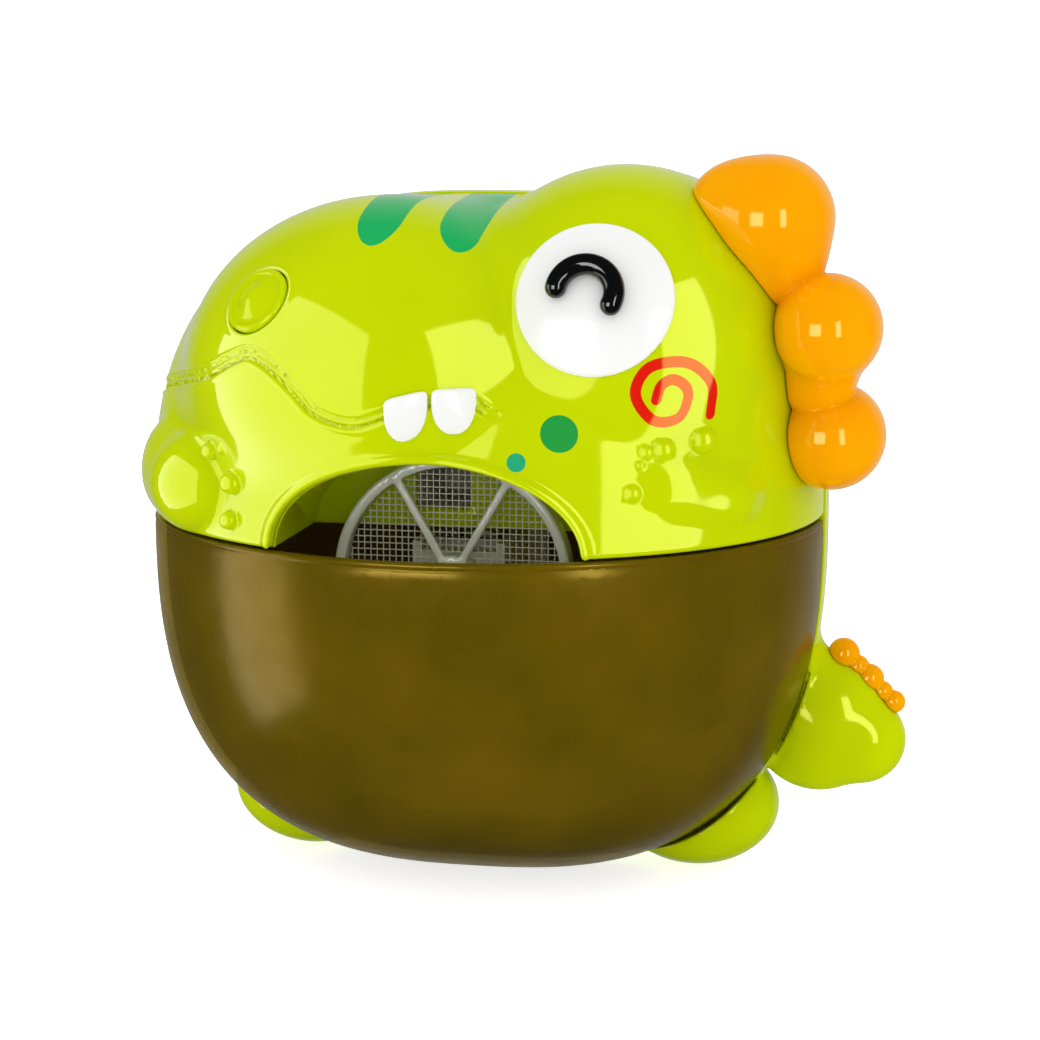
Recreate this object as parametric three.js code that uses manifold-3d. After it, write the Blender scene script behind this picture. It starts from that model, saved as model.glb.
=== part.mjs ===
// Bath bubble machine: a green dinosaur head over a translucent liquid tank, hung on a bath wall by
// suction cups. A geared motor turns a mesh wheel that dips in the tank, and a fan blows through the
// wheel and out of the arch under the head.
// Millimetres, +Z up. The face looks along -Y, the flat back is the plane y = 0, and the tank meets
// the head in the plane z = 0.

import * as THREE from 'three';
import { mergeVertices } from 'three/addons/utils/BufferGeometryUtils.js';
import Module from 'manifold-3d';

const wasm = await Module();
wasm.setup();

// Driving dimensions of the casing.
const HALF_WIDTH = 81.5;
const HEAD_HEIGHT = 76;
const TANK_DEPTH = 88;
const FRONT_DEPTH = 77;
const RIM_Y = -20;
const HEAD_SQUARENESS = 2.6;
const TANK_SQUARENESS = 2.7;
const BACK_ROUNDING = 26;
const BACK_SQUARENESS = 5;
const WALL = 2.6;
const REAR_LIP = 0.4;
const GAP = 0.3;
const BULGE_BLEND = 6;

// Bulges of the head: centre and radii of each ellipsoid that stands out of the dome.
const SNOUT = { centre: [-17.5, -48, 36], radii: [47.5, 52, 41] };
const CRANIUM = { centre: [36, -36, 42.5], radii: [40.5, 48, 41.5] };
const HEAD_BULGES = [SNOUT, CRANIUM];
// The arms stand on the shell: upper arm and hand on the left, then on the right.
const ARMS = [
  { centre: [-65, -52, 13], radii: [11, 19, 14] },
  { centre: [-56, -66, 12], radii: [14, 18, 13] },
  { centre: [56, -57, 11], radii: [15, 16, 12] },
  { centre: [47, -67, 14.5], radii: [15, 14.5, 13] },
];

// Foam outlet and the bubble wheel that fills it.
const OUTLET_HALF_WIDTH = 35;
const OUTLET_HEIGHT = 21;
const TUNNEL_BACK_Y = -51;
const TUNNEL_WALL = 1.6;
const WHEEL_Z = -10;
const WHEEL_RADIUS = 28;
const WHEEL_Y = -59;
const WHEEL_THICKNESS = 6;
const DECK_TOP = 2.1;
const DECK_BOTTOM = 0.5;

// Wheel drive.
const GEAR_MODULE = 1;
const PINION_TEETH = 8;
const REDUCTION_TEETH = 28;
const OUTPUT_TEETH = 32;
const MOTOR_X = -31;
const MOTOR_Z = 10.6;
const SHAFT_RADIUS = 1.5;

// Blower.
const FAN_X = 10;
const FAN_Z = 46;
const VOLUTE_RADIUS = 22;
const VOLUTE_BACK_Y = -22;
const VOLUTE_FRONT_Y = -38;
const DUCT_MIN_X = FAN_X - VOLUTE_RADIUS;
const DUCT_MAX_X = DUCT_MIN_X + 16;
const DUCT_FLOOR = 2.7;
const DUCT_WALL = 1.6;
const FAN_SHAFT_RADIUS = 1;

// Batteries.
const CELL_RADIUS = 7.25;
const CELL_LENGTH = 50.5;
const CELL_PITCH = 15.5;
const CELL_Y = -10.6;
const CELL_MIDDLE_Z = 42;

// Face pieces.
const EYE_CENTRE_X = 36.3;
const EYE_CENTRE_Z = 57.6;
const EYE_NORMAL = [0.05, -0.92, 0.38];
const EYE_RADIUS = 17.6;
const EYE_ARC_SHIFT = [-1.7, -0.1];
const NOSE_X = -38.1;
const NOSE_Z = 55.9;
const NOSE_NORMAL = [-0.41, -0.72, 0.56];
const NOSE_RADIUS = 7.9;

// Smoothness of the large curved casings.
const AROUND = 40;
const ALONG = 24;

// Limbs: centre and radii of each ellipsoid, and [radius, x, z] of each tail spike.
const TAIL_Y = -11.5;
const TAIL_ROOT = { centre: [80.2, TAIL_Y, -52.2], radii: [16.8, 11, 16.8] };
const TAIL_TIP = { centre: [90.5, TAIL_Y, -55.7], radii: [11, 9.5, 11] };
const TAIL_RIDGE = { centre: [74.5, TAIL_Y, -42], radii: [9.5, 9, 14] };
const LEFT_FOOT = { centre: [-46.5, -13, -73], radii: [20.5, 17, 15.5] };
const RIGHT_FOOT = { centre: [50.5, -13, -73], radii: [20.5, 17, 15.5] };
// The crest's three lumps, the lobes that join them, and its backing behind the rim.
const CREST = [
  { centre: [71, -45.8, 72.6], radii: [14.4, 18, 14.4] },
  { centre: [84.5, -49.7, 48.3], radii: [12.5, 15.6, 12.5] },
  { centre: [84.5, -35.8, 22], radii: [12.6, 15.6, 12.6] },
  { centre: [61.3, -45.5, 75], radii: [9.1, 9.1, 9.1] },
  { centre: [73.5, -47, 61], radii: [8.8, 8.8, 8.8] },
  { centre: [81.5, -41.5, 35.5], radii: [8.8, 8.8, 8.8] },
  { centre: [66, -27, 67], radii: [11, 11, 11] },
  { centre: [79, -27, 44], radii: [11, 11, 11] },
  { centre: [80.5, -26, 21], radii: [11, 11, 11] },
];
const TAIL_BALLS = [
  [3.9, 86.1, -34.8], [3.6, 92.4, -40.7], [2.8, 98.4, -46.2],
  [2.9, 89.5, -37.9], [2.6, 95.6, -43.8],
];

// Places on the back, as [x, z], and the door and loudspeaker there.
const CASE_SCREWS = [[-64, 38], [66, 38], [-56, -45], [56, -45]];
const UPPER_SCREWS = CASE_SCREWS.slice(0, 2);
const LOWER_SCREWS = CASE_SCREWS.slice(2);
const SUCTION_CUPS = [[-50, 27], [50, 27], [-42, -48], [42, -48]];
const SPEAKER_X = 50;
const SPEAKER_Z = 46;
const DOOR_HALF_WIDTH = 31.4;
const DOOR_BOTTOM = 17.8;
const DOOR_TOP = 66.2;
const DOOR_CLEARANCE = 0.5;
const DOOR_SCREW_X = 27.8;
const DOOR_SCREW_Z = 63;

// Blocks that cut the casing are drawn well past it.
const BEYOND = 150;

const BODY_CENTRE = new THREE.Vector3(0, RIM_Y, 0);
const LIME = [0xc8dc0a, 0.18];
const ORANGE = [0xff9a08, 0.2];
const WHITE = [0xf6f6f2, 0.2];
const BLACK = [0x0b0b0c, 0.15];
const TANK_BROWN = [0x6e5c10, 0.2];
const CREAM_PLASTIC = [0xe4e2da, 0.45];
const RUBBER = [0xdfe6e4, 0.4];
const STEEL = [0xb8bbc0, 0.3, 0.9];

const machine = new THREE.Group();

// ---- Solids and pieces -------------------------------------------------------------------------

function solidOf(geometry) {
  const bare = geometry.clone();
  bare.deleteAttribute('normal');
  bare.deleteAttribute('uv');
  const merged = mergeVertices(bare);
  const vertProperties = new Float32Array(merged.attributes.position.array);
  const triVerts = new Uint32Array(merged.index.array);
  return new wasm.Manifold(new wasm.Mesh({ numProp: 3, vertProperties, triVerts }));
}

function geometryOf(solid) {
  const mesh = solid.getMesh();
  const geometry = new THREE.BufferGeometry();
  geometry.setAttribute('position', new THREE.BufferAttribute(mesh.vertProperties, 3));
  geometry.setIndex(new THREE.BufferAttribute(mesh.triVerts, 1));
  return geometry;
}

function join(...solids) {
  return solids.reduce((whole, solid) => whole.add(solid));
}

function cut(solid, ...tools) {
  return tools.reduce((rest, tool) => rest.subtract(tool), solid);
}

function addPiece(name, solid, [color, roughness, metalness = 0]) {
  const material = new THREE.MeshStandardMaterial({ color, roughness, metalness });
  const mesh = new THREE.Mesh(geometryOf(solid), material);
  mesh.name = name;
  machine.add(mesh);
}

function block(minX, maxX, minY, maxY, minZ, maxZ) {
  const geometry = new THREE.BoxGeometry(maxX - minX, maxY - minY, maxZ - minZ);
  geometry.translate((minX + maxX) / 2, (minY + maxY) / 2, (minZ + maxZ) / 2);
  return solidOf(geometry);
}

// A round bar along Y, from backY to the smaller frontY.
function bar(radius, backY, frontY, x, z, segments = 20) {
  const geometry = new THREE.CylinderGeometry(radius, radius, backY - frontY, segments);
  geometry.translate(x, (backY + frontY) / 2, z);
  return solidOf(geometry);
}

function ring(outerRadius, innerRadius, backY, frontY, x, z, segments = 20) {
  const hole = bar(innerRadius, backY + 1, frontY - 1, x, z, segments);
  return bar(outerRadius, backY, frontY, x, z, segments).subtract(hole);
}

function ball(radius, x, y, z, scale = [1, 1, 1], segments = 14) {
  const geometry = new THREE.SphereGeometry(radius, segments, Math.round(segments * 0.65));
  geometry.scale(...scale);
  geometry.translate(x, y, z);
  return solidOf(geometry);
}

// A profile of [radius, y] points turned about the Y axis through x, z.
function turned(profile, x, z, segments = 16) {
  const points = profile.map(([radius, y]) => new THREE.Vector2(radius, y));
  const geometry = new THREE.LatheGeometry(points, segments);
  geometry.translate(x, 0, z);
  return solidOf(geometry);
}

// A flat shape drawn in x, z and thickened from backY towards the front.
function plate(shape, backY, thickness) {
  const settings = { depth: thickness, bevelEnabled: false, curveSegments: 8 };
  const geometry = new THREE.ExtrudeGeometry(shape, settings);
  geometry.rotateX(Math.PI / 2);
  geometry.translate(0, backY, 0);
  return solidOf(geometry);
}

// Moves a geometry drawn with +Z outward onto a point of the casing that faces along normal.
function standOn(geometry, anchor, normal) {
  const outward = new THREE.Vector3(...normal).normalize();
  const across = new THREE.Vector3(0, 0, 1).cross(outward).normalize();
  const upward = new THREE.Vector3().crossVectors(outward, across);
  geometry.applyMatrix4(new THREE.Matrix4().makeBasis(across, upward, outward).setPosition(anchor));
  return solidOf(geometry);
}

// ---- The body surface --------------------------------------------------------------------------

function smoothMax(a, b, blend) {
  const overlap = Math.max(blend - Math.abs(a - b), 0) / blend;
  return Math.max(a, b) + overlap * overlap * blend / 4;
}

// Distance from the body centre to the far side of an ellipsoid, or 0 where the ray misses it.
function bulgeRadius(direction, { centre, radii }) {
  let a = 0;
  let b = 0;
  let c = -1;
  const along = direction.toArray();
  const origin = BODY_CENTRE.toArray();
  for (let k = 0; k < 3; k += 1) {
    const step = along[k] / radii[k];
    const offset = (centre[k] - origin[k]) / radii[k];
    a += step * step;
    b += step * offset;
    c += offset * offset;
  }
  const discriminant = b * b - a * c;
  return discriminant > 0 ? (b + Math.sqrt(discriminant)) / a : 0;
}

// Distance from the body centre to the outer surface of the head or tank.
function bodyRadius(direction) {
  const isHead = direction.z >= 0;
  const squareness = isHead ? HEAD_SQUARENESS : TANK_SQUARENESS;
  const height = isHead ? HEAD_HEIGHT : TANK_DEPTH;
  const side = Math.abs(direction.x / HALF_WIDTH) ** squareness;
  const rise = Math.abs(direction.z / height) ** squareness;
  const dome = 1 / Math.sqrt((side + rise) ** (2 / squareness) + (direction.y / FRONT_DEPTH) ** 2);
  if (!isHead) {
    return dome;
  }
  return HEAD_BULGES.reduce((r, bulge) => smoothMax(r, bulgeRadius(direction, bulge), BULGE_BLEND), dome);
}

// The point of the head's front at a given x and z.
function headPoint(x, z) {
  let outside = -130;
  let inside = RIM_Y;
  const offset = new THREE.Vector3();
  for (let step = 0; step < 30; step += 1) {
    const y = (outside + inside) / 2;
    offset.set(x, y, z).sub(BODY_CENTRE);
    const distance = offset.length();
    if (distance > bodyRadius(offset.normalize())) {
      outside = y;
    } else {
      inside = y;
    }
  }
  return new THREE.Vector3(x, inside, z);
}

// The whole front body as a sphere drawn out to the body surface and grown by offset.
function frontBody(offset) {
  const geometry = new THREE.SphereGeometry(1, AROUND, ALONG);
  geometry.rotateX(Math.PI / 2);
  const position = geometry.attributes.position;
  const point = new THREE.Vector3();
  for (let i = 0; i < position.count; i += 1) {
    point.fromBufferAttribute(position, i).normalize();
    point.multiplyScalar(bodyRadius(point) + offset).add(BODY_CENTRE);
    position.setXYZ(i, point.x, point.y, point.z);
  }
  return solidOf(geometry);
}

// How far the rear housing has drawn in at y, as a share of the rim's outline.
function backTaper(y) {
  const depth = Math.max(y - RIM_Y, 0) / BACK_ROUNDING;
  return (1 - depth ** BACK_SQUARENESS) ** (1 / BACK_SQUARENESS);
}

// The rear body as a cylinder along Y drawn out to the rim's outline, grown by offset.
function rearBody(offset, frontY, backY) {
  const steps = 4;
  const geometry = new THREE.CylinderGeometry(1, 1, backY - frontY, AROUND, steps);
  geometry.translate(0, (backY + frontY) / 2, 0);
  const position = geometry.attributes.position;
  const direction = new THREE.Vector3();
  for (let i = 0; i < position.count; i += 1) {
    const y = position.getY(i);
    direction.set(position.getX(i), 0, position.getZ(i));
    if (direction.length() > 0.5) {
      direction.normalize();
      direction.multiplyScalar(bodyRadius(direction) * backTaper(y) + offset);
    }
    position.setXYZ(i, direction.x, y, direction.z);
  }
  return solidOf(geometry);
}

// The lower half of the rim's outline, which the tank has, scaled by scale, as a shape in x, z.
function tankRimShape(scale) {
  const points = [];
  const steps = 32;
  const direction = new THREE.Vector3();
  for (let i = 0; i <= steps; i += 1) {
    const angle = Math.PI * (1 + i / steps);
    direction.set(Math.cos(angle), 0, Math.sin(angle));
    direction.multiplyScalar(bodyRadius(direction) * scale);
    points.push(new THREE.Vector2(direction.x, direction.z));
  }
  return new THREE.Shape(points);
}

// ---- Casing ------------------------------------------------------------------------------------

const bodyClearance = join(frontBody(GAP), rearBody(REAR_LIP + GAP, RIM_Y - 1, 0.5));

// An arch on the plane z = 0, as the outline of the foam outlet and of the tunnel behind it.
function archShape(halfWidth, height, foot) {
  const shape = new THREE.Shape();
  shape.moveTo(halfWidth, foot);
  shape.lineTo(halfWidth, 0.6);
  shape.absellipse(0, 0.6, halfWidth, height - 0.6, 0, Math.PI, false, 0);
  shape.lineTo(-halfWidth, foot);
  return shape;
}

// What lies in front of the rear housing's rim, between two heights.
function frontRoom(frameY, minZ, maxZ) {
  return block(-BEYOND, BEYOND, -BEYOND, frameY, minZ, maxZ);
}

// A post for a case screw, tied to the wall beside it by a gusset.
function screwPost([x, z], outer) {
  const length = 20;
  const reach = 1.3 * x;
  const gusset = block(Math.min(x, reach), Math.max(x, reach), RIM_Y - length, RIM_Y - GAP, z - 1, z + 1);
  const post = bar(4, RIM_Y - GAP, RIM_Y - length, x, z, 14).add(gusset.intersect(outer));
  return post.subtract(bar(1.4, RIM_Y, RIM_Y - 12, x, z, 12));
}

// The two studs under the shell that carry the switch board.
function boardStud(side, nose, outer) {
  const stud = new THREE.CylinderGeometry(1.6, 1.6, 12, 10);
  stud.rotateX(Math.PI / 2);
  stud.translate(side * 10, 0, -7);
  return standOn(stud, nose, NOSE_NORMAL).intersect(outer);
}

function frontShell() {
  const outer = frontBody(0);
  const nose = headPoint(NOSE_X, NOSE_Z);
  const noseHole = new THREE.CylinderGeometry(NOSE_RADIUS + 0.25, NOSE_RADIUS + 0.25, 30, 28);
  noseHole.rotateX(Math.PI / 2);
  const outlet = plate(archShape(OUTLET_HALF_WIDTH, OUTLET_HEIGHT, -5), -60, 60);
  const armed = join(outer, ...ARMS.map((arm) => ellipsoid(arm)));
  const shell = cut(
    armed.intersect(frontRoom(RIM_Y - GAP, GAP, BEYOND)),
    frontBody(-WALL),
    standOn(noseHole, nose, NOSE_NORMAL),
    outlet,
  );
  const posts = UPPER_SCREWS.map((place) => screwPost(place, outer));
  const studs = [-1, 1].map((side) => boardStud(side, nose, outer));
  return join(shell, ...posts, ...studs);
}

function tank() {
  const notchRadius = 8;
  const outer = frontBody(0).intersect(frontRoom(RIM_Y - GAP, -BEYOND, -GAP));
  const room = frontBody(-WALL).intersect(frontRoom(RIM_Y - GAP - WALL, -BEYOND, 5));
  const driveNotch = join(
    bar(notchRadius, RIM_Y + 2, RIM_Y - 6, 0, WHEEL_Z, 20),
    block(-notchRadius, notchRadius, RIM_Y - 6, RIM_Y + 2, WHEEL_Z, 5),
  );
  return cut(outer, room, driveNotch);
}

function ellipsoid({ centre, radii }, offset = 0) {
  return ball(1, ...centre, radii.map((radius) => radius + offset));
}

function tail(offset) {
  return join(...[TAIL_ROOT, TAIL_TIP, TAIL_RIDGE].map((part) => ellipsoid(part, offset)));
}

function screwWell([x, z]) {
  const endY = RIM_Y + (z > 0 ? 0.6 : 2.4);
  return bar(4.6, -1, endY, x, z, 16);
}

function screwBore([x, z]) {
  return bar(3.4, 2, RIM_Y + 5, x, z, 16).add(bar(1.8, 6, RIM_Y - 2, x, z, 12));
}

function speakerSlot(row) {
  const z = SPEAKER_Z + 5 * row;
  return block(SPEAKER_X - 7, SPEAKER_X + 7, -5, 2, z - 0.8, z + 0.8);
}

function rearHousing() {
  const tankPath = plate(tankRimShape(1.008), RIM_Y, 60);
  const limbs = join(ellipsoid(LEFT_FOOT), ellipsoid(RIGHT_FOOT), tail(0)).subtract(tankPath);
  const behindWall = block(-BEYOND, BEYOND, -0.01, 30, -BEYOND, BEYOND);
  const batteryOpening = block(
    -DOOR_HALF_WIDTH - DOOR_CLEARANCE, DOOR_HALF_WIDTH + DOOR_CLEARANCE,
    -5, 5,
    DOOR_BOTTOM - DOOR_CLEARANCE, DOOR_TOP + DOOR_CLEARANCE,
  );
  const tub = cut(
    join(rearBody(REAR_LIP, RIM_Y, 0), limbs),
    behindWall,
    rearBody(REAR_LIP - WALL, RIM_Y - 30, -WALL),
    batteryOpening,
  );
  return cut(
    join(tub, ...CASE_SCREWS.map(screwWell)),
    ...CASE_SCREWS.map(screwBore),
    ...SUCTION_CUPS.map(([x, z]) => bar(3.3, 2, -5, x, z, 16)),
    ...[-1, 0, 1].map(speakerSlot),
  ).trimByPlane([0, -1, 0], 0);
}

function partitionPlate() {
  const panel = plate(tankRimShape(0.955), RIM_Y + 2.1, 1.8);
  const screwHoles = LOWER_SCREWS.map(([x, z]) => bar(1.3, RIM_Y + 5, RIM_Y - 2, x, z, 12));
  return cut(panel, ...screwHoles, bar(4.3, RIM_Y + 5, RIM_Y - 2, 0, WHEEL_Z, 24));
}

// The floor of the head, with the tunnel that leads the foam from the wheel to the outlet.
function innerDeck() {
  const backY = RIM_Y - 2 * GAP;
  const inside = frontBody(-WALL - 0.5);
  const bore = 0.2;
  const outerArch = archShape(
    OUTLET_HALF_WIDTH + TUNNEL_WALL - bore,
    OUTLET_HEIGHT + TUNNEL_WALL - bore,
    -5,
  );
  const floor = inside.intersect(frontRoom(backY, DECK_BOTTOM, DECK_TOP));
  const tunnel = plate(outerArch, TUNNEL_BACK_Y, 60).intersect(inside);
  const tunnelBore = plate(
    archShape(OUTLET_HALF_WIDTH - bore, OUTLET_HEIGHT - bore, -5),
    TUNNEL_BACK_Y - TUNNEL_WALL,
    60,
  );
  const airInlet = block(
    DUCT_MIN_X + DUCT_WALL, DUCT_MAX_X - DUCT_WALL,
    TUNNEL_BACK_Y - 5, TUNNEL_BACK_Y + 5,
    4.8, 15.4,
  );
  return cut(floor.add(tunnel).intersect(frontRoom(backY, DECK_BOTTOM, 60)), tunnelBore, airInlet);
}

function crest() {
  return join(...CREST.map((lump) => ellipsoid(lump))).subtract(bodyClearance);
}

function tailSpikes() {
  const spikes = TAIL_BALLS.map(([radius, x, z]) => ball(radius, x, TAIL_Y, z, [1, 1, 1], 10));
  return join(...spikes).subtract(tail(GAP));
}

// ---- Face --------------------------------------------------------------------------------------

// A shallow domed disc, its rim at height rimHeight and its middle higher by crown.
function eyeWhite() {
  const crown = 3.7;
  const rimHeight = -2.6;
  const profile = [new THREE.Vector2(0, -9), new THREE.Vector2(EYE_RADIUS, -9)];
  const steps = 6;
  for (let i = 0; i <= steps; i += 1) {
    const share = 1 - i / steps;
    profile.push(new THREE.Vector2(EYE_RADIUS * share, rimHeight + crown * (1 - share * share)));
  }
  const geometry = new THREE.LatheGeometry(profile, 28);
  geometry.rotateX(Math.PI / 2);
  return standOn(geometry, headPoint(EYE_CENTRE_X, EYE_CENTRE_Z), EYE_NORMAL).subtract(bodyClearance);
}

// The closed, smiling lid: a round bar bent over the top of the eye.
function eyeArc() {
  const arcRadius = 6.5;
  const barRadius = 2.4;
  const lift = 1.1 + GAP + barRadius;
  const points = [];
  const steps = 12;
  for (let i = 0; i <= steps; i += 1) {
    const angle = THREE.MathUtils.degToRad(170 - 195 * i / steps);
    points.push(new THREE.Vector3(
      EYE_ARC_SHIFT[0] + arcRadius * Math.cos(angle),
      EYE_ARC_SHIFT[1] + arcRadius * Math.sin(angle),
      lift,
    ));
  }
  const path = new THREE.CatmullRomCurve3(points);
  const section = new THREE.Shape().absarc(0, 0, barRadius, 0, 2 * Math.PI);
  const settings = { steps: 20, extrudePath: path, curveSegments: 5, bevelEnabled: false };
  const geometry = new THREE.ExtrudeGeometry(section, settings);
  return standOn(geometry, headPoint(EYE_CENTRE_X, EYE_CENTRE_Z), EYE_NORMAL);
}

// One tooth, a rounded tablet wider at the gum than at the tip.
function tooth(x, z, width, height, lean) {
  const half = width / 2;
  const round = 3;
  const shape = new THREE.Shape();
  shape.moveTo(-half, height / 2);
  shape.lineTo(-half + 0.6, -height / 2 + round);
  shape.quadraticCurveTo(-half + 0.8, -height / 2, -half + round + 0.8, -height / 2);
  shape.lineTo(half - round - 0.8, -height / 2);
  shape.quadraticCurveTo(half - 0.8, -height / 2, half - 0.6, -height / 2 + round);
  shape.lineTo(half, height / 2);
  const geometry = new THREE.ExtrudeGeometry(shape, { depth: 12, bevelEnabled: false, curveSegments: 5 });
  geometry.rotateZ(lean);
  geometry.translate(0, 0, -9.6);
  return standOn(geometry, headPoint(x, z), [0.08, -1, 0]).subtract(bodyClearance);
}

function noseButton() {
  const profile = [
    new THREE.Vector2(0, -4.2),
    new THREE.Vector2(NOSE_RADIUS, -4.2),
    new THREE.Vector2(NOSE_RADIUS, -0.4),
    new THREE.Vector2(NOSE_RADIUS - 1, 0.5),
    new THREE.Vector2(NOSE_RADIUS - 3, 1.5),
    new THREE.Vector2(0, 2.3),
  ];
  const geometry = new THREE.LatheGeometry(profile, 28);
  geometry.rotateX(Math.PI / 2);
  return standOn(geometry, headPoint(NOSE_X, NOSE_Z), NOSE_NORMAL);
}

function tactSwitch() {
  const stem = new THREE.CylinderGeometry(1.7, 1.7, 1.8, 14);
  stem.rotateX(Math.PI / 2);
  stem.translate(0, 0, -7.2);
  const body = new THREE.BoxGeometry(6, 6, 5.4);
  body.translate(0, 0, -10.5);
  const nose = headPoint(NOSE_X, NOSE_Z);
  return join(standOn(body, nose, NOSE_NORMAL), standOn(stem, nose, NOSE_NORMAL));
}

function switchBoard() {
  const board = new THREE.BoxGeometry(26, 11, 1.4);
  board.translate(0, 0, -14.3);
  return standOn(board, headPoint(NOSE_X, NOSE_Z), NOSE_NORMAL);
}

// ---- Bubble wheel and its drive ----------------------------------------------------------------

// The frame of the wheel: a rim, a hub with a driving dog behind it, and spokes.
function wheelFrame() {
  const back = WHEEL_Y + WHEEL_THICKNESS / 2;
  const front = WHEEL_Y - WHEEL_THICKNESS / 2;
  let frame = ring(WHEEL_RADIUS, WHEEL_RADIUS - 2.4, back, front, 0, WHEEL_Z, 40);
  frame = frame.add(bar(5, back, front, 0, WHEEL_Z, 20));
  const spokes = 6;
  for (let i = 0; i < spokes; i += 1) {
    const spoke = new THREE.BoxGeometry(WHEEL_RADIUS - 5, 1.6, 1.8);
    spoke.translate((WHEEL_RADIUS + 3) / 2, 0, 0);
    spoke.rotateY(i * 2 * Math.PI / spokes);
    spoke.translate(0, front + 0.8, WHEEL_Z);
    frame = frame.add(solidOf(spoke));
  }
  return frame.subtract(bar(SHAFT_RADIUS + GAP, back + 1, front - 1, 0, WHEEL_Z));
}

// The mesh cloth stretched in the wheel, behind its spokes.
function wheelMesh() {
  return ring(WHEEL_RADIUS - 2.8, 5.4, WHEEL_Y + 0.6, WHEEL_Y - 0.6, 0, WHEEL_Z, 32);
}

// The two dogs are alike: a disc with two lugs that pass between the lugs of the other one.
function dog(discBackY, discFrontY, lugBackY, lugFrontY, lugAngle) {
  let body = ring(5.5, SHAFT_RADIUS + GAP, discBackY, discFrontY, 0, WHEEL_Z);
  for (const turn of [0, Math.PI]) {
    const lug = new THREE.BoxGeometry(2.4, lugBackY - lugFrontY, 2.6);
    lug.translate(3.8, (lugBackY + lugFrontY) / 2, 0);
    lug.rotateY(lugAngle + turn);
    lug.translate(0, 0, WHEEL_Z);
    body = body.add(solidOf(lug));
  }
  return body;
}

function wheelAxle() {
  return bar(SHAFT_RADIUS, RIM_Y - 6.6, WHEEL_Y - 4.5, 0, WHEEL_Z, 16);
}

function wheelBracket() {
  const backPlate = block(-15, 15, RIM_Y - 5, RIM_Y - 3.2, -27, -1.5).subtract(
    join(bar(7, RIM_Y, RIM_Y - 8, 0, WHEEL_Z), block(-7, 7, RIM_Y - 8, RIM_Y, WHEEL_Z, 0)),
  );
  const sides = [-11, 9].map((x) => block(x, x + 2, -54.5, RIM_Y - 4, -17, -3));
  const bridges = [-38, -54.5].map((frontY) => block(-10, 10, frontY, frontY + 3, -15, -5));
  const bore = bar(SHAFT_RADIUS + GAP, RIM_Y - 8, -60, 0, WHEEL_Z);
  return join(backPlate, ...sides, ...bridges).subtract(bore);
}

// A spur gear in the x, z plane with the middle of one tooth at toothAngle.
function gear(teeth, toothAngle, backY, width, boreRadius, x, z) {
  const pitchRadius = GEAR_MODULE * teeth / 2;
  const rootRadius = pitchRadius - 1.25 * GEAR_MODULE;
  const tipRadius = pitchRadius + 0.85 * GEAR_MODULE;
  const toothPitch = 2 * Math.PI / teeth;
  const corners = [[rootRadius, -0.3], [tipRadius, -0.12], [tipRadius, 0.12], [rootRadius, 0.3]];
  const points = [];
  for (let tooth = 0; tooth < teeth; tooth += 1) {
    for (const [radius, share] of corners) {
      const angle = toothAngle + toothPitch * (tooth + share);
      points.push(new THREE.Vector2(x + radius * Math.cos(angle), z + radius * Math.sin(angle)));
    }
  }
  const shape = new THREE.Shape(points);
  if (boreRadius > 0) {
    shape.holes.push(new THREE.Path().absarc(x, z, boreRadius, 0, 2 * Math.PI));
  }
  return plate(shape, backY, width);
}

// The reduction gear's centre meshes with both the output gear and the motor pinion.
function reductionPlace() {
  const toOutput = GEAR_MODULE * (PINION_TEETH + OUTPUT_TEETH) / 2 + 0.1;
  const toMotor = GEAR_MODULE * (PINION_TEETH + REDUCTION_TEETH) / 2 + 0.1;
  const span = Math.hypot(MOTOR_X, MOTOR_Z - WHEEL_Z);
  const share = (toOutput ** 2 - toMotor ** 2 + span ** 2) / (2 * span);
  const side = Math.sqrt(toOutput ** 2 - share ** 2);
  const alongX = MOTOR_X / span;
  const alongZ = (MOTOR_Z - WHEEL_Z) / span;
  return [alongX * share - alongZ * side, WHEEL_Z + alongZ * share + alongX * side];
}

function addDrive() {
  const [x, z] = reductionPlace();
  const towardsReduction = Math.atan2(z - WHEEL_Z, x);
  const towardsMotor = Math.atan2(MOTOR_Z - z, MOTOR_X - x);
  const halfPinionTooth = Math.PI / PINION_TEETH;
  const halfReductionTooth = Math.PI / REDUCTION_TEETH;
  const outputGear = gear(OUTPUT_TEETH, towardsReduction, -9, 4, SHAFT_RADIUS + GAP, 0, WHEEL_Z);
  const smallGear = gear(PINION_TEETH, towardsReduction + Math.PI + halfPinionTooth, -8.5, 5, 1, x, z);
  const largeGear = gear(REDUCTION_TEETH, towardsMotor + halfReductionTooth, -4.5, 4.01, 1, x, z);
  const pinion = gear(PINION_TEETH, towardsMotor + Math.PI, -4.5, 4, 0, MOTOR_X, MOTOR_Z);
  addPiece('output_gear', outputGear, CREAM_PLASTIC);
  addPiece('reduction_gear', smallGear.add(largeGear), CREAM_PLASTIC);
  addPiece('reduction_pin', bar(0.7, -WALL - 0.3, RIM_Y + 2.8, x, z, 10), STEEL);
  addPiece('motor_pinion', pinion.add(bar(1, -8, RIM_Y - 6, MOTOR_X, MOTOR_Z, 12)), STEEL);
  addPiece('wheel_motor', smallMotor(RIM_Y - 1, RIM_Y - 26, MOTOR_X, MOTOR_Z), STEEL);
  addPiece('drive_shaft', bar(SHAFT_RADIUS, -3, RIM_Y - 4.2, 0, WHEEL_Z, 16), STEEL);
  addPiece('drive_dog', dog(RIM_Y - 1.6, RIM_Y - 3, RIM_Y - 2.5, RIM_Y - 6.2, 0), CREAM_PLASTIC);
  addPiece('shaft_bush', shaftBush(), STEEL);
}

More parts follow.
